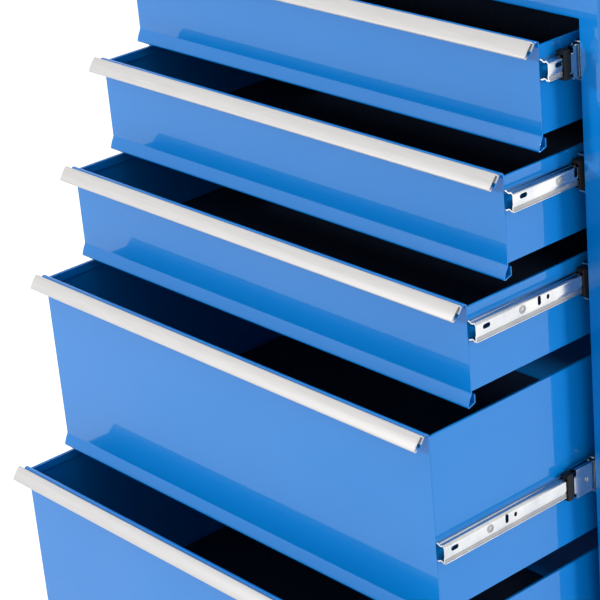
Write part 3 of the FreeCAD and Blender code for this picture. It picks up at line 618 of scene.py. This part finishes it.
def make_tray(drawer):
    left, right, y, end = drawer.left, drawer.right, drawer.face + 1.2 * MM, drawer.back
    base, rim = drawer.tray_low, drawer.tray_top
    wall = 1.0 * MM
    pan = block(f"drawer_{drawer.number}_box", (left, y, base), (right, end, rim))
    edit(pan, "faces", lambda f: f.normal.z > 0.9)
    bpy.ops.mesh.inset(thickness=wall)
    bpy.ops.mesh.extrude_region_move(
        TRANSFORM_OT_translate={"value": (0, 0, base + wall - rim)})
    lay_down()
    round_edges(pan, 0.8 * MM, 3, lambda e: near(middle(e).z, base) or (
        runs(e, "z", 0.02) and middle(e).y > end - 2 * wall))
    parts = [pan]
    in_y, low_z, high_z = y + wall / 4, rim - 9 * MM, rim - 0.15 * MM
    for low_x, high_x in ((left + wall, left + 3 * MM), (right - 3 * MM, right - wall)):
        parts.append(block("hem", (low_x, in_y, low_z), (high_x, end - wall, high_z),
                           0.6 * MM, 3))
    parts.append(block("back_hem", (left + 3 * MM, end - 3 * MM, low_z),
                       (right - 3 * MM, end - wall, high_z), 0.6 * MM, 3))
    tray = join(parts, f"drawer_{drawer.number}_box")
    return dress(tray, PAINT, drawer.body, [f"drawer_{drawer.number}_tray"])


# Telescopic slides: how far the webs stand out from the drawer, and how high they are

RAIL_OUT, RAIL_HIGH = 10.5 * MM, 18.6 * MM
MIDDLE_OUT, MIDDLE_HIGH = 12.2 * MM, 29.5 * MM
SLIDE_SHEET = 1.2 * MM
HIDDEN = 9.4 * MM


def channel(name, side_x, web_x, z, height, race, low_y, high_y, crease=0.0):
    """The right-hand channel, with flanges to the drawer and a ball race in each. A web
    with a crease slopes in at the top and lies a little deeper under the crease."""
    top = height / 2
    r0, r1, deep = race
    web = [(web_x, z + top), (web_x, z - top)]
    if crease:
        web = [(web_x, z + top - 2.3 * MM), (web_x, z - crease),
               (web_x - 0.7 * MM, z - crease - 2.2 * MM), (web_x - 0.7 * MM, z - top)]
    run = fold(
        name, "y", low_y, high_y, (side_x, z + top),
        [
            (r0, z + top), (r0 + deep, z + top - deep), (r1 - deep, z + top - deep),
            (r1, z + top), *web, (r1, z - top),
            (r1 - deep, z - top + deep), (r0 + deep, z - top + deep), (r0, z - top),
            (side_x, z - top),
        ])
    ease_folds(run, 0.8 * MM, 3, 30)
    return thicken(run, SLIDE_SHEET, 1)


def web_hole(piece, web, y, z, length, height):
    """A round-ended slot through a web."""
    tool = block("slot", (web - 3 * MM, y - length / 2 * MM, z - height / 2 * MM),
                 (web + 2 * MM, y + length / 2 * MM, z + height / 2 * MM))
    round_edges(tool, min(length, height) * 0.49 * MM, 5, lambda e: runs(e, "x"))
    return carve(piece, tool, "FAST")


def set_back(piece, y):
    """Move a left member's front end, with its slot, back out of sight behind the front."""
    edit(piece, "verts", lambda v: v.co.y < y + 20 * MM)
    bpy.ops.transform.translate(value=(0, HIDDEN, 0))
    lay_down()
    return piece


def make_rails(drawer):
    """The members on the drawer's sides, with their slots, creased webs and screws, and under each
    crease a darker strip that is painted dark reflection.
    """
    n, front, web = drawer.number, drawer.face, drawer.right + RAIL_OUT
    z, y, end = drawer.slide_z, drawer.rail_y, drawer.rail_end
    run = channel(f"drawer_{n}_rail_right", 0, RAIL_OUT, 0, RAIL_HIGH,
                  (2.8 * MM, 7.4 * MM, 1.3 * MM), y - front, end - front, 2.4 * MM)
    for place, length, height in (
            (12.9, 9, 4.4), (78, 4, 8.6), (89, 3.4, 4.6), (236, 9, 4.4), (300, 4, 8), (372, 9, 4.4)):
        web_hole(run, RAIL_OUT, place * MM, 3.0 * MM, length, height)
    run.data.transform(shift(drawer.right, front, z))
    foot = block("foot", (web - 2.2 * MM, y, z - 9.3 * MM), (web, end, z - 8.3 * MM), 0.3 * MM)
    run = join([run, foot], "rail")
    # The strip under each crease is painted dark reflection: darker zinc stands in for the darker
    # surroundings below that the slanted lower web mirrors.
    band = block("band", (web - 1.1 * MM, y + 0.3 * MM, z - 8.2 * MM),
                 (web - 0.35 * MM, end - 0.3 * MM, z - 4.7 * MM), 0.25 * MM)
    pair = join([run, set_back(copy(run, "left", across_middle()), y)], f"drawer_{n}_rail_pair")
    dress(pair, ZINC, drawer.body, [f"drawer_{n}_rails"], 50)
    painted_reflection_bands = join([band, set_back(copy(band, "left", across_middle()), y)],
                 f"drawer_{n}_rail_bands")
    dress(painted_reflection_bands, DARK_ZINC_AND_PAINTED_REFLECTION, drawer.body)

    screws = []
    for place in (57, 172, 336):
        at_y, at_z = drawer.face + place * MM, z + 2.2 * MM
        head = rod("screw", (web - 0.25 * MM, at_y, at_z), 4.1 * MM, 1.3 * MM, "x", 28, 0.4 * MM)
        end_face(head, "x", 1, 1.2 * MM, -0.3 * MM)
        for turn in (20, 110):
            groove = block("groove", (web - 0.2 * MM, -0.3 * MM, -2.4 * MM),
                           (web + 3 * MM, 0.3 * MM, 2.4 * MM))
            groove.data.transform(
                shift(y=at_y, z=at_z) @ Matrix.Rotation(math.radians(turn), 4, "X"))
            carve(head, groove)
        screws += [head, copy(head, "screw", across_middle())]
    heads = join(screws, f"drawer_{n}_rail_screws")
    dress(heads, SCREW, drawer.body)


def make_middle(drawer):
    """The middle members, with stepped front ends, and their ball cages."""
    n = drawer.number
    side, web = drawer.right, drawer.right + MIDDLE_OUT
    z, y, end = drawer.slide_z, drawer.middle_y, drawer.middle_end
    run = channel(f"slide_{n}_middle_right", side + 3 * MM, web, z, MIDDLE_HIGH,
                  (side + 5.8 * MM, side + 9.4 * MM, 1.0 * MM), y, end)
    for sign in (1, -1):
        corner = block("corner", (side, y - 6 * MM, z + sign * 16 * MM - 8 * MM),
                       (web + 4 * MM, y + 3.2 * MM, z + sign * 16 * MM + 8 * MM))
        round_edges(corner, 2.6 * MM, 3, lambda e: runs(e, "x"))
        carve(run, corner, "FAST")
    for place in (16, 120, 260):
        web_hole(run, web, y + place * MM, z, 10 if place > 16 else 5, 5)
    pair = join([run, copy(run, "left", across_middle())], f"slide_{n}_middle_pair")
    dress(pair, ZINC, f"middle_slides_{n}", [f"slide_{n}_middle_rails"], 50)

    low, high = 9.65 * MM, 13.2 * MM
    collar = block("collar", (side + 3 * MM, y - 8 * MM, z - high),
                   (side + 12.05 * MM, y - 0.3 * MM, z + high), 0.8 * MM, 2)
    carve(collar, block("mouth", (side - MM, y - 12 * MM, z - low),
                        (side + 10.85 * MM, y + 4 * MM, z + low)))
    parts = [collar]
    for sign in (1, -1):
        parts.append(block(
            "strip", (side + 3.4 * MM, y - 4 * MM, z + sign * 10.8 * MM - 1.1 * MM),
            (side + 6.8 * MM, y + 240 * MM, z + sign * 10.8 * MM + 1.1 * MM), 0.4 * MM, 1))
    cage = join(parts, "cage")
    cages = join([cage, copy(cage, "left", across_middle())], f"slide_{n}_cages")
    dress(cages, BLACK, f"middle_slides_{n}", [f"slide_{n}_ball_cages"])

    lay_down()
    bpy.ops.mesh.primitive_uv_sphere_add(
        segments=12, ring_count=8, radius=1.55 * MM,
        location=(side + 5.1 * MM, y + 6 * MM, z + 10.9 * MM))
    ball = settle("ball")
    row = [ball]
    for step in range(24):
        for sign in (1, -1):
            if step or sign < 0:
                row.append(copy(ball, "ball", shift(
                    y=step * 9.6 * MM, z=(sign - 1) * 10.9 * MM)))
    balls = join(row, f"slide_{n}_balls")
    balls = join([balls, copy(balls, "left", across_middle())], f"slide_{n}_balls")
    dress(balls, CHROME, f"middle_slides_{n}")


def make_liner(drawer):
    low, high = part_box(f"drawer_{drawer.number}_liner")
    sheet = block(f"drawer_{drawer.number}_liner_sheet", low, high)
    round_edges(sheet, 6 * MM, 5, lambda e: runs(e, "z"))
    soften(sheet, 0.4 * MM, 2, 60)
    dress(sheet, FOAM, drawer.body, [f"drawer_{drawer.number}_liner"])


for drawer in drawers:
    make_front(drawer)
    make_pull(drawer)
    make_tray(drawer)
    make_liner(drawer)
    make_rails(drawer)
    make_middle(drawer)

# Case

SHEET = 1.2 * MM
opening_base, opening_top = 168 * MM, case_high - 48 * MM
half_opening = half_case - 25 * MM


def screw_head(name, place, axis, sign, radius=4 * MM, high=1.1 * MM):
    """A low button head with a cross recess, standing on a place and facing along an axis."""
    head = rod(name, (0, 0, high / 2), radius, high, "z", 24)
    round_edges(head, high * 0.7, 3, lambda e: middle(e).z > high * 0.9)
    for turn in (15, 105):
        groove = block("groove", (-radius * 0.5, -0.35 * MM, high * 0.45),
                       (radius * 0.5, 0.35 * MM, high * 2))
        groove.data.transform(Matrix.Rotation(math.radians(turn), 4, "Z"))
        carve(head, groove)
    way = {"x": (sign, 0, 0), "y": (0, sign, 0), "z": (0, 0, sign)}[axis]
    head.data.transform(Matrix.Translation(place)
                        @ Vector(way).to_track_quat("Z", "Y").to_matrix().to_4x4())
    return head


def repeat(piece, name, steps):
    """The piece and its copies at the given steps, joined."""
    return join([piece] + [copy(piece, "again", shift(*step)) for step in steps], name)


def make_frame():
    depth = front_high.y - face
    sheet = block("case_front_sheet", (front_low.x, face, case_low),
                  (front_high.x, front_high.y, case_high))
    edit(sheet, "faces", lambda f: f.normal.y > 0.9)
    bpy.ops.mesh.delete(type="FACE")
    lay_down()
    edit(sheet, "faces", lambda f: f.normal.y < -0.9)
    bpy.ops.mesh.inset(thickness=25 * MM)
    lay_down()
    for old, new in ((case_low + 25 * MM, opening_base), (case_high - 25 * MM, opening_top)):
        edit(sheet, "edges", lambda e: at_height(e, old))
        bpy.ops.transform.translate(value=(0, 0, new - old))
        lay_down()
    edit(sheet, "faces", lambda f: f.normal.y < -0.9 and all(
        abs(v.co.x - mid_x) < half_opening + MM and v.co.z < opening_top + MM for v in f.verts))
    bpy.ops.mesh.extrude_region_move(TRANSFORM_OT_translate={"value": (0, depth, 0)})
    bpy.ops.mesh.delete(type="FACE")
    lay_down()

    def on_face(e):
        return near(e.verts[0].co.y, face) and near(e.verts[1].co.y, face) and len(
            e.link_faces) == 2 and e.calc_face_angle(0) > 1

    round_edges(sheet, 4 * MM, 6, lambda e: on_face(e) and abs(middle(e).x - mid_x) > half_case - MM)
    round_edges(sheet, 1.6 * MM, 4, lambda e: on_face(e) and abs(
        middle(e).x - mid_x) < half_opening + MM and case_low + MM < middle(e).z < case_high - MM)
    thicken(sheet, SHEET)
    soften(sheet, 0.3 * MM, 2, 70)
    low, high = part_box("lock_sleeve")
    bore = rod("bore", ((low.x + high.x) / 2, face, (low.z + high.z) / 2),
               9.55 * MM, 20 * MM, "y", 48)
    carve(sheet, bore)
    dress(sheet, PAINT, "case", ["front_frame"], 40)


def make_sides():
    low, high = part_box("right_side_panel")
    edge = high.x
    panel = fold("case_side_right", "z", case_low, case_high, (edge - 18 * MM, back),
                 [(edge, back), (edge, low.y), (edge - 14 * MM, low.y)])
    ease_folds(panel, 2.2 * MM, 4)
    outward_x = [p.normal.x for p in panel.data.polygons if abs(p.normal.x) > 0.9][0]
    thicken(panel, SHEET, -1 if outward_x > 0 else 1)
    soften(panel, 0.25 * MM, 2, 70)
    twin = copy(panel, "case_side_left", across_middle())
    dress(panel, PAINT, "case", ["right_side_panel"])
    dress(twin, PAINT, "case", ["left_side_panel"])


def make_back():
    low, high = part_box("back_panel")
    sheet = block("case_back_sheet", (low.x, low.y, low.z), (high.x, high.y, high.z), 0.2 * MM, 1)
    dress(sheet, PAINT, "case", ["back_panel"])
    head = screw_head("back_screw", (low.x + 34 * MM, high.y - 0.1 * MM, low.z + 14 * MM), "y", 1)
    span = high.x - low.x - 68 * MM
    heads = repeat(head, "case_back_screws", [
        (span * i / 5, 0, j * (high.z - low.z - 28 * MM))
        for i in range(6) for j in (0, 1) if i or j])
    dress(heads, SCREW, "case")


def make_base():
    low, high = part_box("base_pan")
    pan = block("case_base_pan", low, high)
    edit(pan, "faces", lambda f: f.normal.z > 0.9)
    bpy.ops.mesh.inset(thickness=SHEET)
    bpy.ops.mesh.extrude_region_move(
        TRANSFORM_OT_translate={"value": (0, 0, low.z + SHEET - high.z)})
    lay_down()
    round_edges(pan, 1.1 * MM, 3, lambda e: near(middle(e).z, low.z))
    dress(pan, PAINT, "case", ["base_pan"])


def make_top():
    low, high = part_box("top_panel")
    rim = 9 * MM
    tray = block("case_top_tray", low, high)
    edit(tray, "faces", lambda f: f.normal.z > 0.9)
    bpy.ops.mesh.inset(thickness=rim)
    bpy.ops.mesh.extrude_region_move(
        TRANSFORM_OT_translate={"value": (0, 0, low.z + SHEET - high.z)})
    lay_down()
    round_edges(tray, 4 * MM, 6,
                lambda e: abs(middle(e).x - mid_x) > half_case - MM and runs(e, "z"))
    round_edges(tray, 2 * MM, 4, lambda e: at_height(e, high.z) and e.calc_face_angle(0) > 1)
    dress(tray, PAINT, "case", ["top_panel"], 50)

    low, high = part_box("top_mat")
    sheet = block("top_mat_sheet", low, (high.x, high.y, high.z - MM), 0.3 * MM, 1)
    rib = block("rib", (low.x + 4 * MM, low.y + 5 * MM, high.z - 1.3 * MM),
                (high.x - 4 * MM, low.y + 8 * MM, high.z))
    round_edges(rib, 0.7 * MM, 2, lambda e: near(middle(e).z, high.z))
    count = int((high.y - low.y - 13 * MM) / (6 * MM))
    ribs = repeat(rib, "ribs", [(0, 6 * MM * i, 0) for i in range(1, count + 1)])
    dress(join([sheet, ribs], "top_mat_ribbed"), MAT, "case", ["top_mat"])


def make_case_rails():
    parts = []
    tip, web = drawers[0].right + 6 * MM, mid_x + half_opening
    low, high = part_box("case_slide_rails")
    for drawer in drawers:
        z = drawer.slide_z
        run = fold("rail", "y", low.y, high.y, (tip, z + 17.5 * MM), [
            (web, z + 17.5 * MM), (web, z - 17.5 * MM), (tip, z - 17.5 * MM)])
        ease_folds(run, MM, 3)
        thicken(run, SHEET, 1)
        for place in (24, 180, 330):
            web_hole(run, web, low.y + place * MM, z, 9, 5)
        parts += [run, copy(run, "left", across_middle())]
    dress(join(parts, "case_rail_channels"), ZINC, "case",
          ["case_slide_rails"], 50)


def make_handle():
    low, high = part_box("side_handle")
    x, z = (low.x + high.x) / 2, (low.z + high.z) / 2
    radius = (high.x - low.x) / 2
    bar = rod("handle_bar", (x, (low.y + high.y) / 2, z), radius, high.y - low.y, "y", 64,
              0.8 * MM, 3)
    dress(bar, CHROME, "case", ["side_handle"])
    wall, half_z = side_high.x, 14 * MM
    brackets, screws = [], []
    for end, inward in ((low.y, 1), (high.y, -1)):
        near_y, far_y = end - 8 * MM, end + 8 * MM
        plate_y = sorted((end - (8 + 11.5) * MM * inward, end + (8 + 23) * MM * inward))
        plate = block("foot", (wall, plate_y[0], z - half_z),
                      (wall + 4 * MM, plate_y[1], z + half_z))
        round_edges(plate, 6 * MM, 5, lambda e: runs(e, "x"))
        arm = block("arm", (wall + MM, near_y, z - half_z), (x + 8 * MM, far_y, z + half_z))
        edit(arm, "faces", lambda f: f.normal.x < -0.9)
        bpy.ops.transform.resize(value=(1, 1.9, 1), center_override=(
            wall + MM, end + 3 * MM * inward, z))
        lay_down()
        head = rod("socket", (x, end, z), 14.9 * MM, 16 * MM, "y", 56, 1.6 * MM, 3)
        bracket = unite([plate, arm, head], "bracket")
        bore = rod("bore", (x, end + 3 * MM * inward, z), radius + 0.05 * MM, 16 * MM, "y", 56)
        carve(bracket, bore)
        brackets.append(soften(bracket, 0.9 * MM, 3, 35))
        for step in (14, 24):
            screws.append(screw_head(
                "handle_screw", (wall + 3.9 * MM, end + step * MM * inward, z), "x", 1,
                3.4 * MM, 1.4 * MM))
    dress(join(brackets, "handle_brackets"), CHROME, "case", ["handle_feet"], 45)
    dress(join(screws, "handle_screws"), SCREW, "case")


def make_lock():
    low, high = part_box("lock_sleeve")
    x, z, y = (low.x + high.x) / 2, (low.z + high.z) / 2, low.y
    flange = rod("flange", (x, y + 1.2 * MM, z), 13 * MM, 2.4 * MM, "y", 64)
    round_edges(flange, 1.1 * MM, 3, lambda e: middle(e).y < y + MM)
    barrel = rod("barrel", (x, face + 11 * MM, z), 9.4 * MM, 22 * MM, "y", 6)
    sleeve = unite([flange, barrel], "lock_collar")
    carve(sleeve, rod("bore", (x, face, z), 6.6 * MM, 60 * MM, "y", 48))
    dress(sleeve, CHROME, "case", ["lock_sleeve"], 40)
    _, plug_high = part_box("lock_plug")
    core = rod("core", (x, (y + plug_high.y) / 2, z), 6.5 * MM, plug_high.y - y, "y", 48,
               0.5 * MM, 2)
    cam = block("cam", (x - 4.5 * MM, plug_high.y - 2 * MM, z - 4.5 * MM),
                (plug_high.x, plug_high.y, z + 4.5 * MM))
    round_edges(cam, 3 * MM, 4, lambda e: runs(e, "y"))
    plug = unite([core, cam], "lock_core")
    slot = block("slot", (x - 0.8 * MM, y - MM, z - 4 * MM), (x + 0.8 * MM, y + 9 * MM, z + 4 * MM),
                 0.3 * MM, 1)
    carve(plug, slot)
    dress(plug, SCREW, "lock", ["lock_plug"], 40)


# Casters


def make_wheel(node, body):
    """A tyre with a rounded tread, on a moulded core with pockets between its spokes."""
    low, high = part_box(node)
    centre = (low + high) / 2
    x, y, z = centre
    radius, half = (high.z - low.z) / 2, 16 * MM
    tyre = rod("tyre", centre, radius, 2 * half, "y", 96)
    round_edges(tyre, 5 * MM, 5, at_round_end)
    carve(tyre, rod("bore", centre, 37 * MM, 60 * MM, "y", 96))
    for sign in (1, -1):
        ring = rod("ring", (x, y + sign * half, z), 42.5 * MM, 0.8 * MM, "y", 96)
        carve(ring, rod("bore", (x, y + sign * half, z), 41 * MM, 10 * MM, "y", 96))
        carve(tyre, ring)
    dress(tyre, TYRE, body, [node])

    core = rod("core", centre, 36.95 * MM, 2 * half - 2 * MM, "y", 96, 0.8 * MM, 2)
    for sign in (1, -1):
        ring = rod("well", (x, y + sign * half, z), 32 * MM, 18 * MM, "y", 72)
        carve(ring, rod("bore", (x, y + sign * half, z), 15.5 * MM, 40 * MM, "y", 48))
        for turn in range(5):
            spoke = block("spoke", (0, -20 * MM, -2.2 * MM), (50 * MM, 20 * MM, 2.2 * MM))
            spoke.data.transform(shift(x, y + sign * half, z)
                                 @ Matrix.Rotation(math.radians(72 * turn + 18), 4, "Y"))
            carve(ring, spoke)
        carve(core, ring)
    hub = rod("hub", centre, 13 * MM, 2 * (half + 1.2 * MM), "y", 48, 0.8 * MM, 2)
    core = unite([core, hub], f"{body}_core")
    carve(core, rod("bore", centre, 5.05 * MM, 80 * MM, "y", 32))
    soften(core, 0.35 * MM, 2, 50)
    dress(core, CORE, body)
    tyre.name = tyre.data.name = f"{body}_tyre"


def cheek(x, y, z, crown, front, rear, foot_x):
    """One side of a fork: a tapered plate with a round eye."""
    plate = block("cheek", (rear, y - 1.5 * MM, z), (front, y + 1.5 * MM, crown))
    edit(plate, "verts", lambda v: v.co.z < z + MM)
    bpy.ops.transform.resize(value=(24 * MM / (front - rear), 1, 1),
                             center_override=((front + rear) / 2, y, z))
    bpy.ops.transform.translate(value=(foot_x - (front + rear) / 2, 0, 0))
    lay_down()
    eye = rod("eye", (foot_x, y, z), 12.9 * MM, 3 * MM, "y", 40)
    return unite([plate, eye], "cheek")


def make_fork(name, x, y, crown, axle_x, axle_z, eye_y, bore=0.0):
    """Two cheeks under a crown, rounded where the sheet is bent, made about the crown's
    middle and moved to its place."""
    half, rear = eye_y + 3 * MM, -23.9 * MM - (4 * MM if axle_x != x else 0)
    top = block("crown", (-24 * MM, -half, -3 * MM), (24 * MM, half, 0))
    if bore:
        carve(top, rod("bore", (0, 0, 0), bore, 20 * MM, "z", 32))
    body = unite([top] + [
        cheek(0, sign * (half - 1.52 * MM), axle_z - crown, -1.4 * MM, 23.9 * MM, rear,
              axle_x - x) for sign in (1, -1)], name)
    round_edges(body, 2.6 * MM, 4, lambda e: near(
        middle(e).z, 0, 1e-4) and near(abs(middle(e).y), half, 1e-4))
    soften(body, 0.4 * MM, 2, 50)
    body.data.transform(shift(x, y, crown))
    return body


def hex_end(name, place, sign, radius=9 * MM, high=4 * MM):
    nut = rod(name, (place[0], place[1] + sign * high / 2, place[2]), radius, high, "y", 6)
    edit(nut, "faces", lambda f: f.normal.y * sign > 0.9)
    bpy.ops.mesh.inset(thickness=1.2 * MM)
    bpy.ops.mesh.extrude_region_move(TRANSFORM_OT_translate={"value": (0, 0.5 * MM * sign, 0)})
    bpy.ops.transform.translate(value=(0, -0.5 * MM * sign, 0))
    lay_down()
    return nut


def make_plate(x, y, top):
    """The screwed-on plate: rounded corners, and four bolts with nuts under it."""
    plate = block("plate", (x - 50 * MM, y - 39 * MM, top - 3 * MM),
                  (x + 50 * MM, y + 39 * MM, top))
    round_edges(plate, 8 * MM, 6, lambda e: runs(e, "z"))
    soften(plate, 0.4 * MM, 2, 60)
    bolts = []
    for dx in (-40, 40):
        for dy in (-29, 29):
            at = (x + dx * MM, y + dy * MM)
            bolts.append(rod("nut", (*at, top - 5.5 * MM), 6 * MM, 5 * MM, "z", 6, 0.5 * MM, 1))
            bolts.append(rod("washer", (*at, top - 3.5 * MM), 7.5 * MM, 1.2 * MM, "z", 28))
            bolts.append(rod("stem", (*at, top - 7 * MM), 3.4 * MM, 5 * MM, "z", 20, 0.6 * MM, 1))
    return plate, bolts


def make_casters():
    for end in ("front", "rear"):
        low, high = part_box(f"caster_left_{end}_wheel")
        x, y, axle_z = (low + high) / 2
        make_wheel(f"caster_left_{end}_wheel", f"left_{end}_wheel")
        plate, bolts = make_plate(x, y, case_low)
        fork = make_fork("fork", x, y, case_low - 3 * MM, x, axle_z, 17.5 * MM)
        pin = rod("axle", (x, y, axle_z), 5 * MM, 41 * MM, "y", 32)
        heads = [hex_end("head", (x, y + sign * 20.5 * MM, axle_z), sign) for sign in (1, -1)]
        bracket = join([plate, fork], f"caster_left_{end}_bracket_pressed")
        dress(bracket, ZINC, "case", [f"caster_left_{end}_bracket"], 45)
        dress(join([pin, *heads, *bolts], f"caster_left_{end}_bolts"), SCREW, "case",
              (), 30)

        low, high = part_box(f"caster_right_{end}_plate")
        x, y = (low.x + high.x) / 2, (low.y + high.y) / 2
        wheel_low, wheel_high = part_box(f"caster_right_{end}_wheel")
        axle_x = (wheel_low.x + wheel_high.x) / 2
        make_wheel(f"caster_right_{end}_wheel", f"right_{end}_wheel")
        plate, bolts = make_plate(x, y, case_low)
        race = rod("race", (x, y, case_low - 7.9 * MM), 22 * MM, 9.6 * MM, "z", 64)
        round_edges(race, 3 * MM, 4,
                    lambda e: at_round_end(e) and middle(e).z < case_low - 8 * MM)
        pin = rod("pin", (x, y, case_low - 14.5 * MM), 6 * MM, 7 * MM, "z", 32)
        nut = rod("nut", (x, y, case_low - 17.8 * MM), 10 * MM, 3 * MM, "z", 6, 0.5 * MM, 1)
        dress(join([plate, race], f"caster_right_{end}_plate_pressed"), ZINC, "case",
              [f"caster_right_{end}_plate"], 45)
        dress(join([pin, nut, *bolts], f"caster_right_{end}_bolts"), SCREW, "case",
              (), 30)
        crown = case_low - 13 * MM
        fork = make_fork(f"caster_right_{end}_fork_pressed", x, y, crown, axle_x, axle_z,
                         17.5 * MM, 6.1 * MM)
        dress(fork, ZINC, f"right_{end}_fork", [f"caster_right_{end}_fork"], 45)
        pin = rod("axle", (axle_x, y, axle_z), 5 * MM, 41 * MM, "y", 32)
        heads = [hex_end("head", (axle_x, y + sign * 20.5 * MM, axle_z), sign) for sign in (1, -1)]
        dress(join([pin, *heads], f"caster_right_{end}_axle"), SCREW, f"right_{end}_fork",
              (), 30)
        make_brake(end, x, y, crown)


def make_brake(end, x, y, crown):
    """A pressed lever with a bent-down, ribbed pedal, a hub and its pin."""
    px, pz = x - 20 * MM, crown - 8 * MM
    tip = px - 42 * MM
    top = pz + 3.4 * MM
    half = 17.2 * MM
    lever = fold("lever", "y", y - half, y + half, (px + 3 * MM, top),
                 [(tip, top), (tip - 15.5 * MM, top - 7.7 * MM)])
    thicken(lever, 2.8 * MM, -1 if lever.data.polygons[0].normal.z > 0 else 1)
    soften(lever, 0.8 * MM, 3, 20)
    hub = rod("hub", (px, y, pz), 4.2 * MM, 2 * half, "y", 32, 0.4 * MM, 1)
    pin = rod("pin", (px, y, pz), 3 * MM, 41 * MM, "y", 24, 0.4 * MM, 1)
    ribs = []
    for i in range(4):
        reach = (3.5 + 3 * i) * MM
        rib = block("rib", (-0.6 * MM, y - half + 3 * MM, -0.8 * MM),
                    (0.6 * MM, y + half - 3 * MM, 0.35 * MM), 0.3 * MM, 1)
        rib.data.transform(shift(tip - reach * 0.894, 0, top - reach * 0.447)
                           @ Matrix.Rotation(math.radians(-26.6), 4, "Y"))
        ribs.append(rib)
    piece = join([lever, hub, pin, *ribs], f"caster_right_{end}_brake_lever")
    dress(piece, DARK_ZINC_AND_PAINTED_REFLECTION, f"right_{end}_brake", [f"caster_right_{end}_brake"], 40)


make_frame()
make_sides()
make_back()
make_base()
make_top()
make_case_rails()
make_handle()
make_lock()
make_casters()

# Studio: the light that the white room gives to surfaces, and the floor's own glow

ROOM_LIGHT = 0.78
FLOOR_GLOW = 0.4


def seen_ray(finish):
    """One for rays that come from the camera, a reflection or clear matter."""
    path = finish.node("ShaderNodeLightPath")
    return path["Is Camera Ray"] + path["Is Glossy Ray"] + path["Is Transmission Ray"]


def make_floor():
    lay_down()
    bpy.ops.mesh.primitive_plane_add(size=30, location=(0, 0, -0.0005))
    floor = settle("studio_floor")
    paper = Finish("white_paper")
    diffuse = paper.node("ShaderNodeBsdfDiffuse", None, Color=(0.82, 0.82, 0.82))
    glow = paper.node("ShaderNodeEmission", None, Color=(1, 1, 1),
                      Strength=seen_ray(paper) * FLOOR_GLOW)
    both = paper.node("ShaderNodeAddShader", None, diffuse[0], glow[0])
    paper.node("ShaderNodeOutputMaterial", None, Surface=both[0])
    floor.data.materials.append(paper.material)


def make_world():
    studio = Finish("studio", bpy.data.worlds)
    room, white = (
        studio.node("ShaderNodeBackground", None, Color=(1, 1, 1), Strength=strength)
        for strength in (ROOM_LIGHT, 1.0))
    mix = studio.node("ShaderNodeMixShader", None, seen_ray(studio), room[0], white[0])
    studio.node("ShaderNodeOutputWorld", None, Surface=mix[0])
    bpy.context.scene.world = studio.material


def lamp(name, place, target, size, power):
    lay_down()
    bpy.ops.object.light_add(type="AREA", location=place)
    light = bpy.context.object
    light.name = name
    light.data.shape = "SQUARE"
    light.data.size = size
    light.data.energy = power
    aim = Vector(target) - Vector(place)
    light.rotation_euler = aim.to_track_quat("-Z", "Y").to_euler()
    lay_down()


def make_camera():
    lay_down()
    bpy.ops.object.camera_add(location=(1.50385, -1.43844, 1.44317))
    camera = bpy.context.object
    azimuth, elevation, roll = (math.radians(v) for v in (50.702, 23.568, -5.307))
    back_way = Vector((math.sin(azimuth) * math.cos(elevation),
                       -math.cos(azimuth) * math.cos(elevation), math.sin(elevation)))
    right = Vector((math.cos(azimuth), math.sin(azimuth), 0))
    up = back_way.cross(right)
    right, up = (right * math.cos(roll) + up * math.sin(roll),
                 up * math.cos(roll) - right * math.sin(roll))
    camera.rotation_euler = Matrix((right, up, back_way)).transposed().to_euler()
    camera.data.sensor_width = 36
    camera.data.lens = 135.456
    camera.data.clip_start, camera.data.clip_end = 0.1, 60
    bpy.context.scene.camera = camera
    lay_down()


make_floor()
make_world()
lamp("key", (-1.97, -3.50, 2.15), (0, -0.1, 0.7), 0.35, 76)
lamp("side", (3.45, 1.55, 1.8), (0.2, -0.1, 0.65), 0.6, 60)
lamp("top", (0.3, -0.8, 3.6), (0, 0, 0.6), 2.4, 14)
make_camera()
scene = bpy.context.scene
scene.view_settings.view_transform = "Standard"
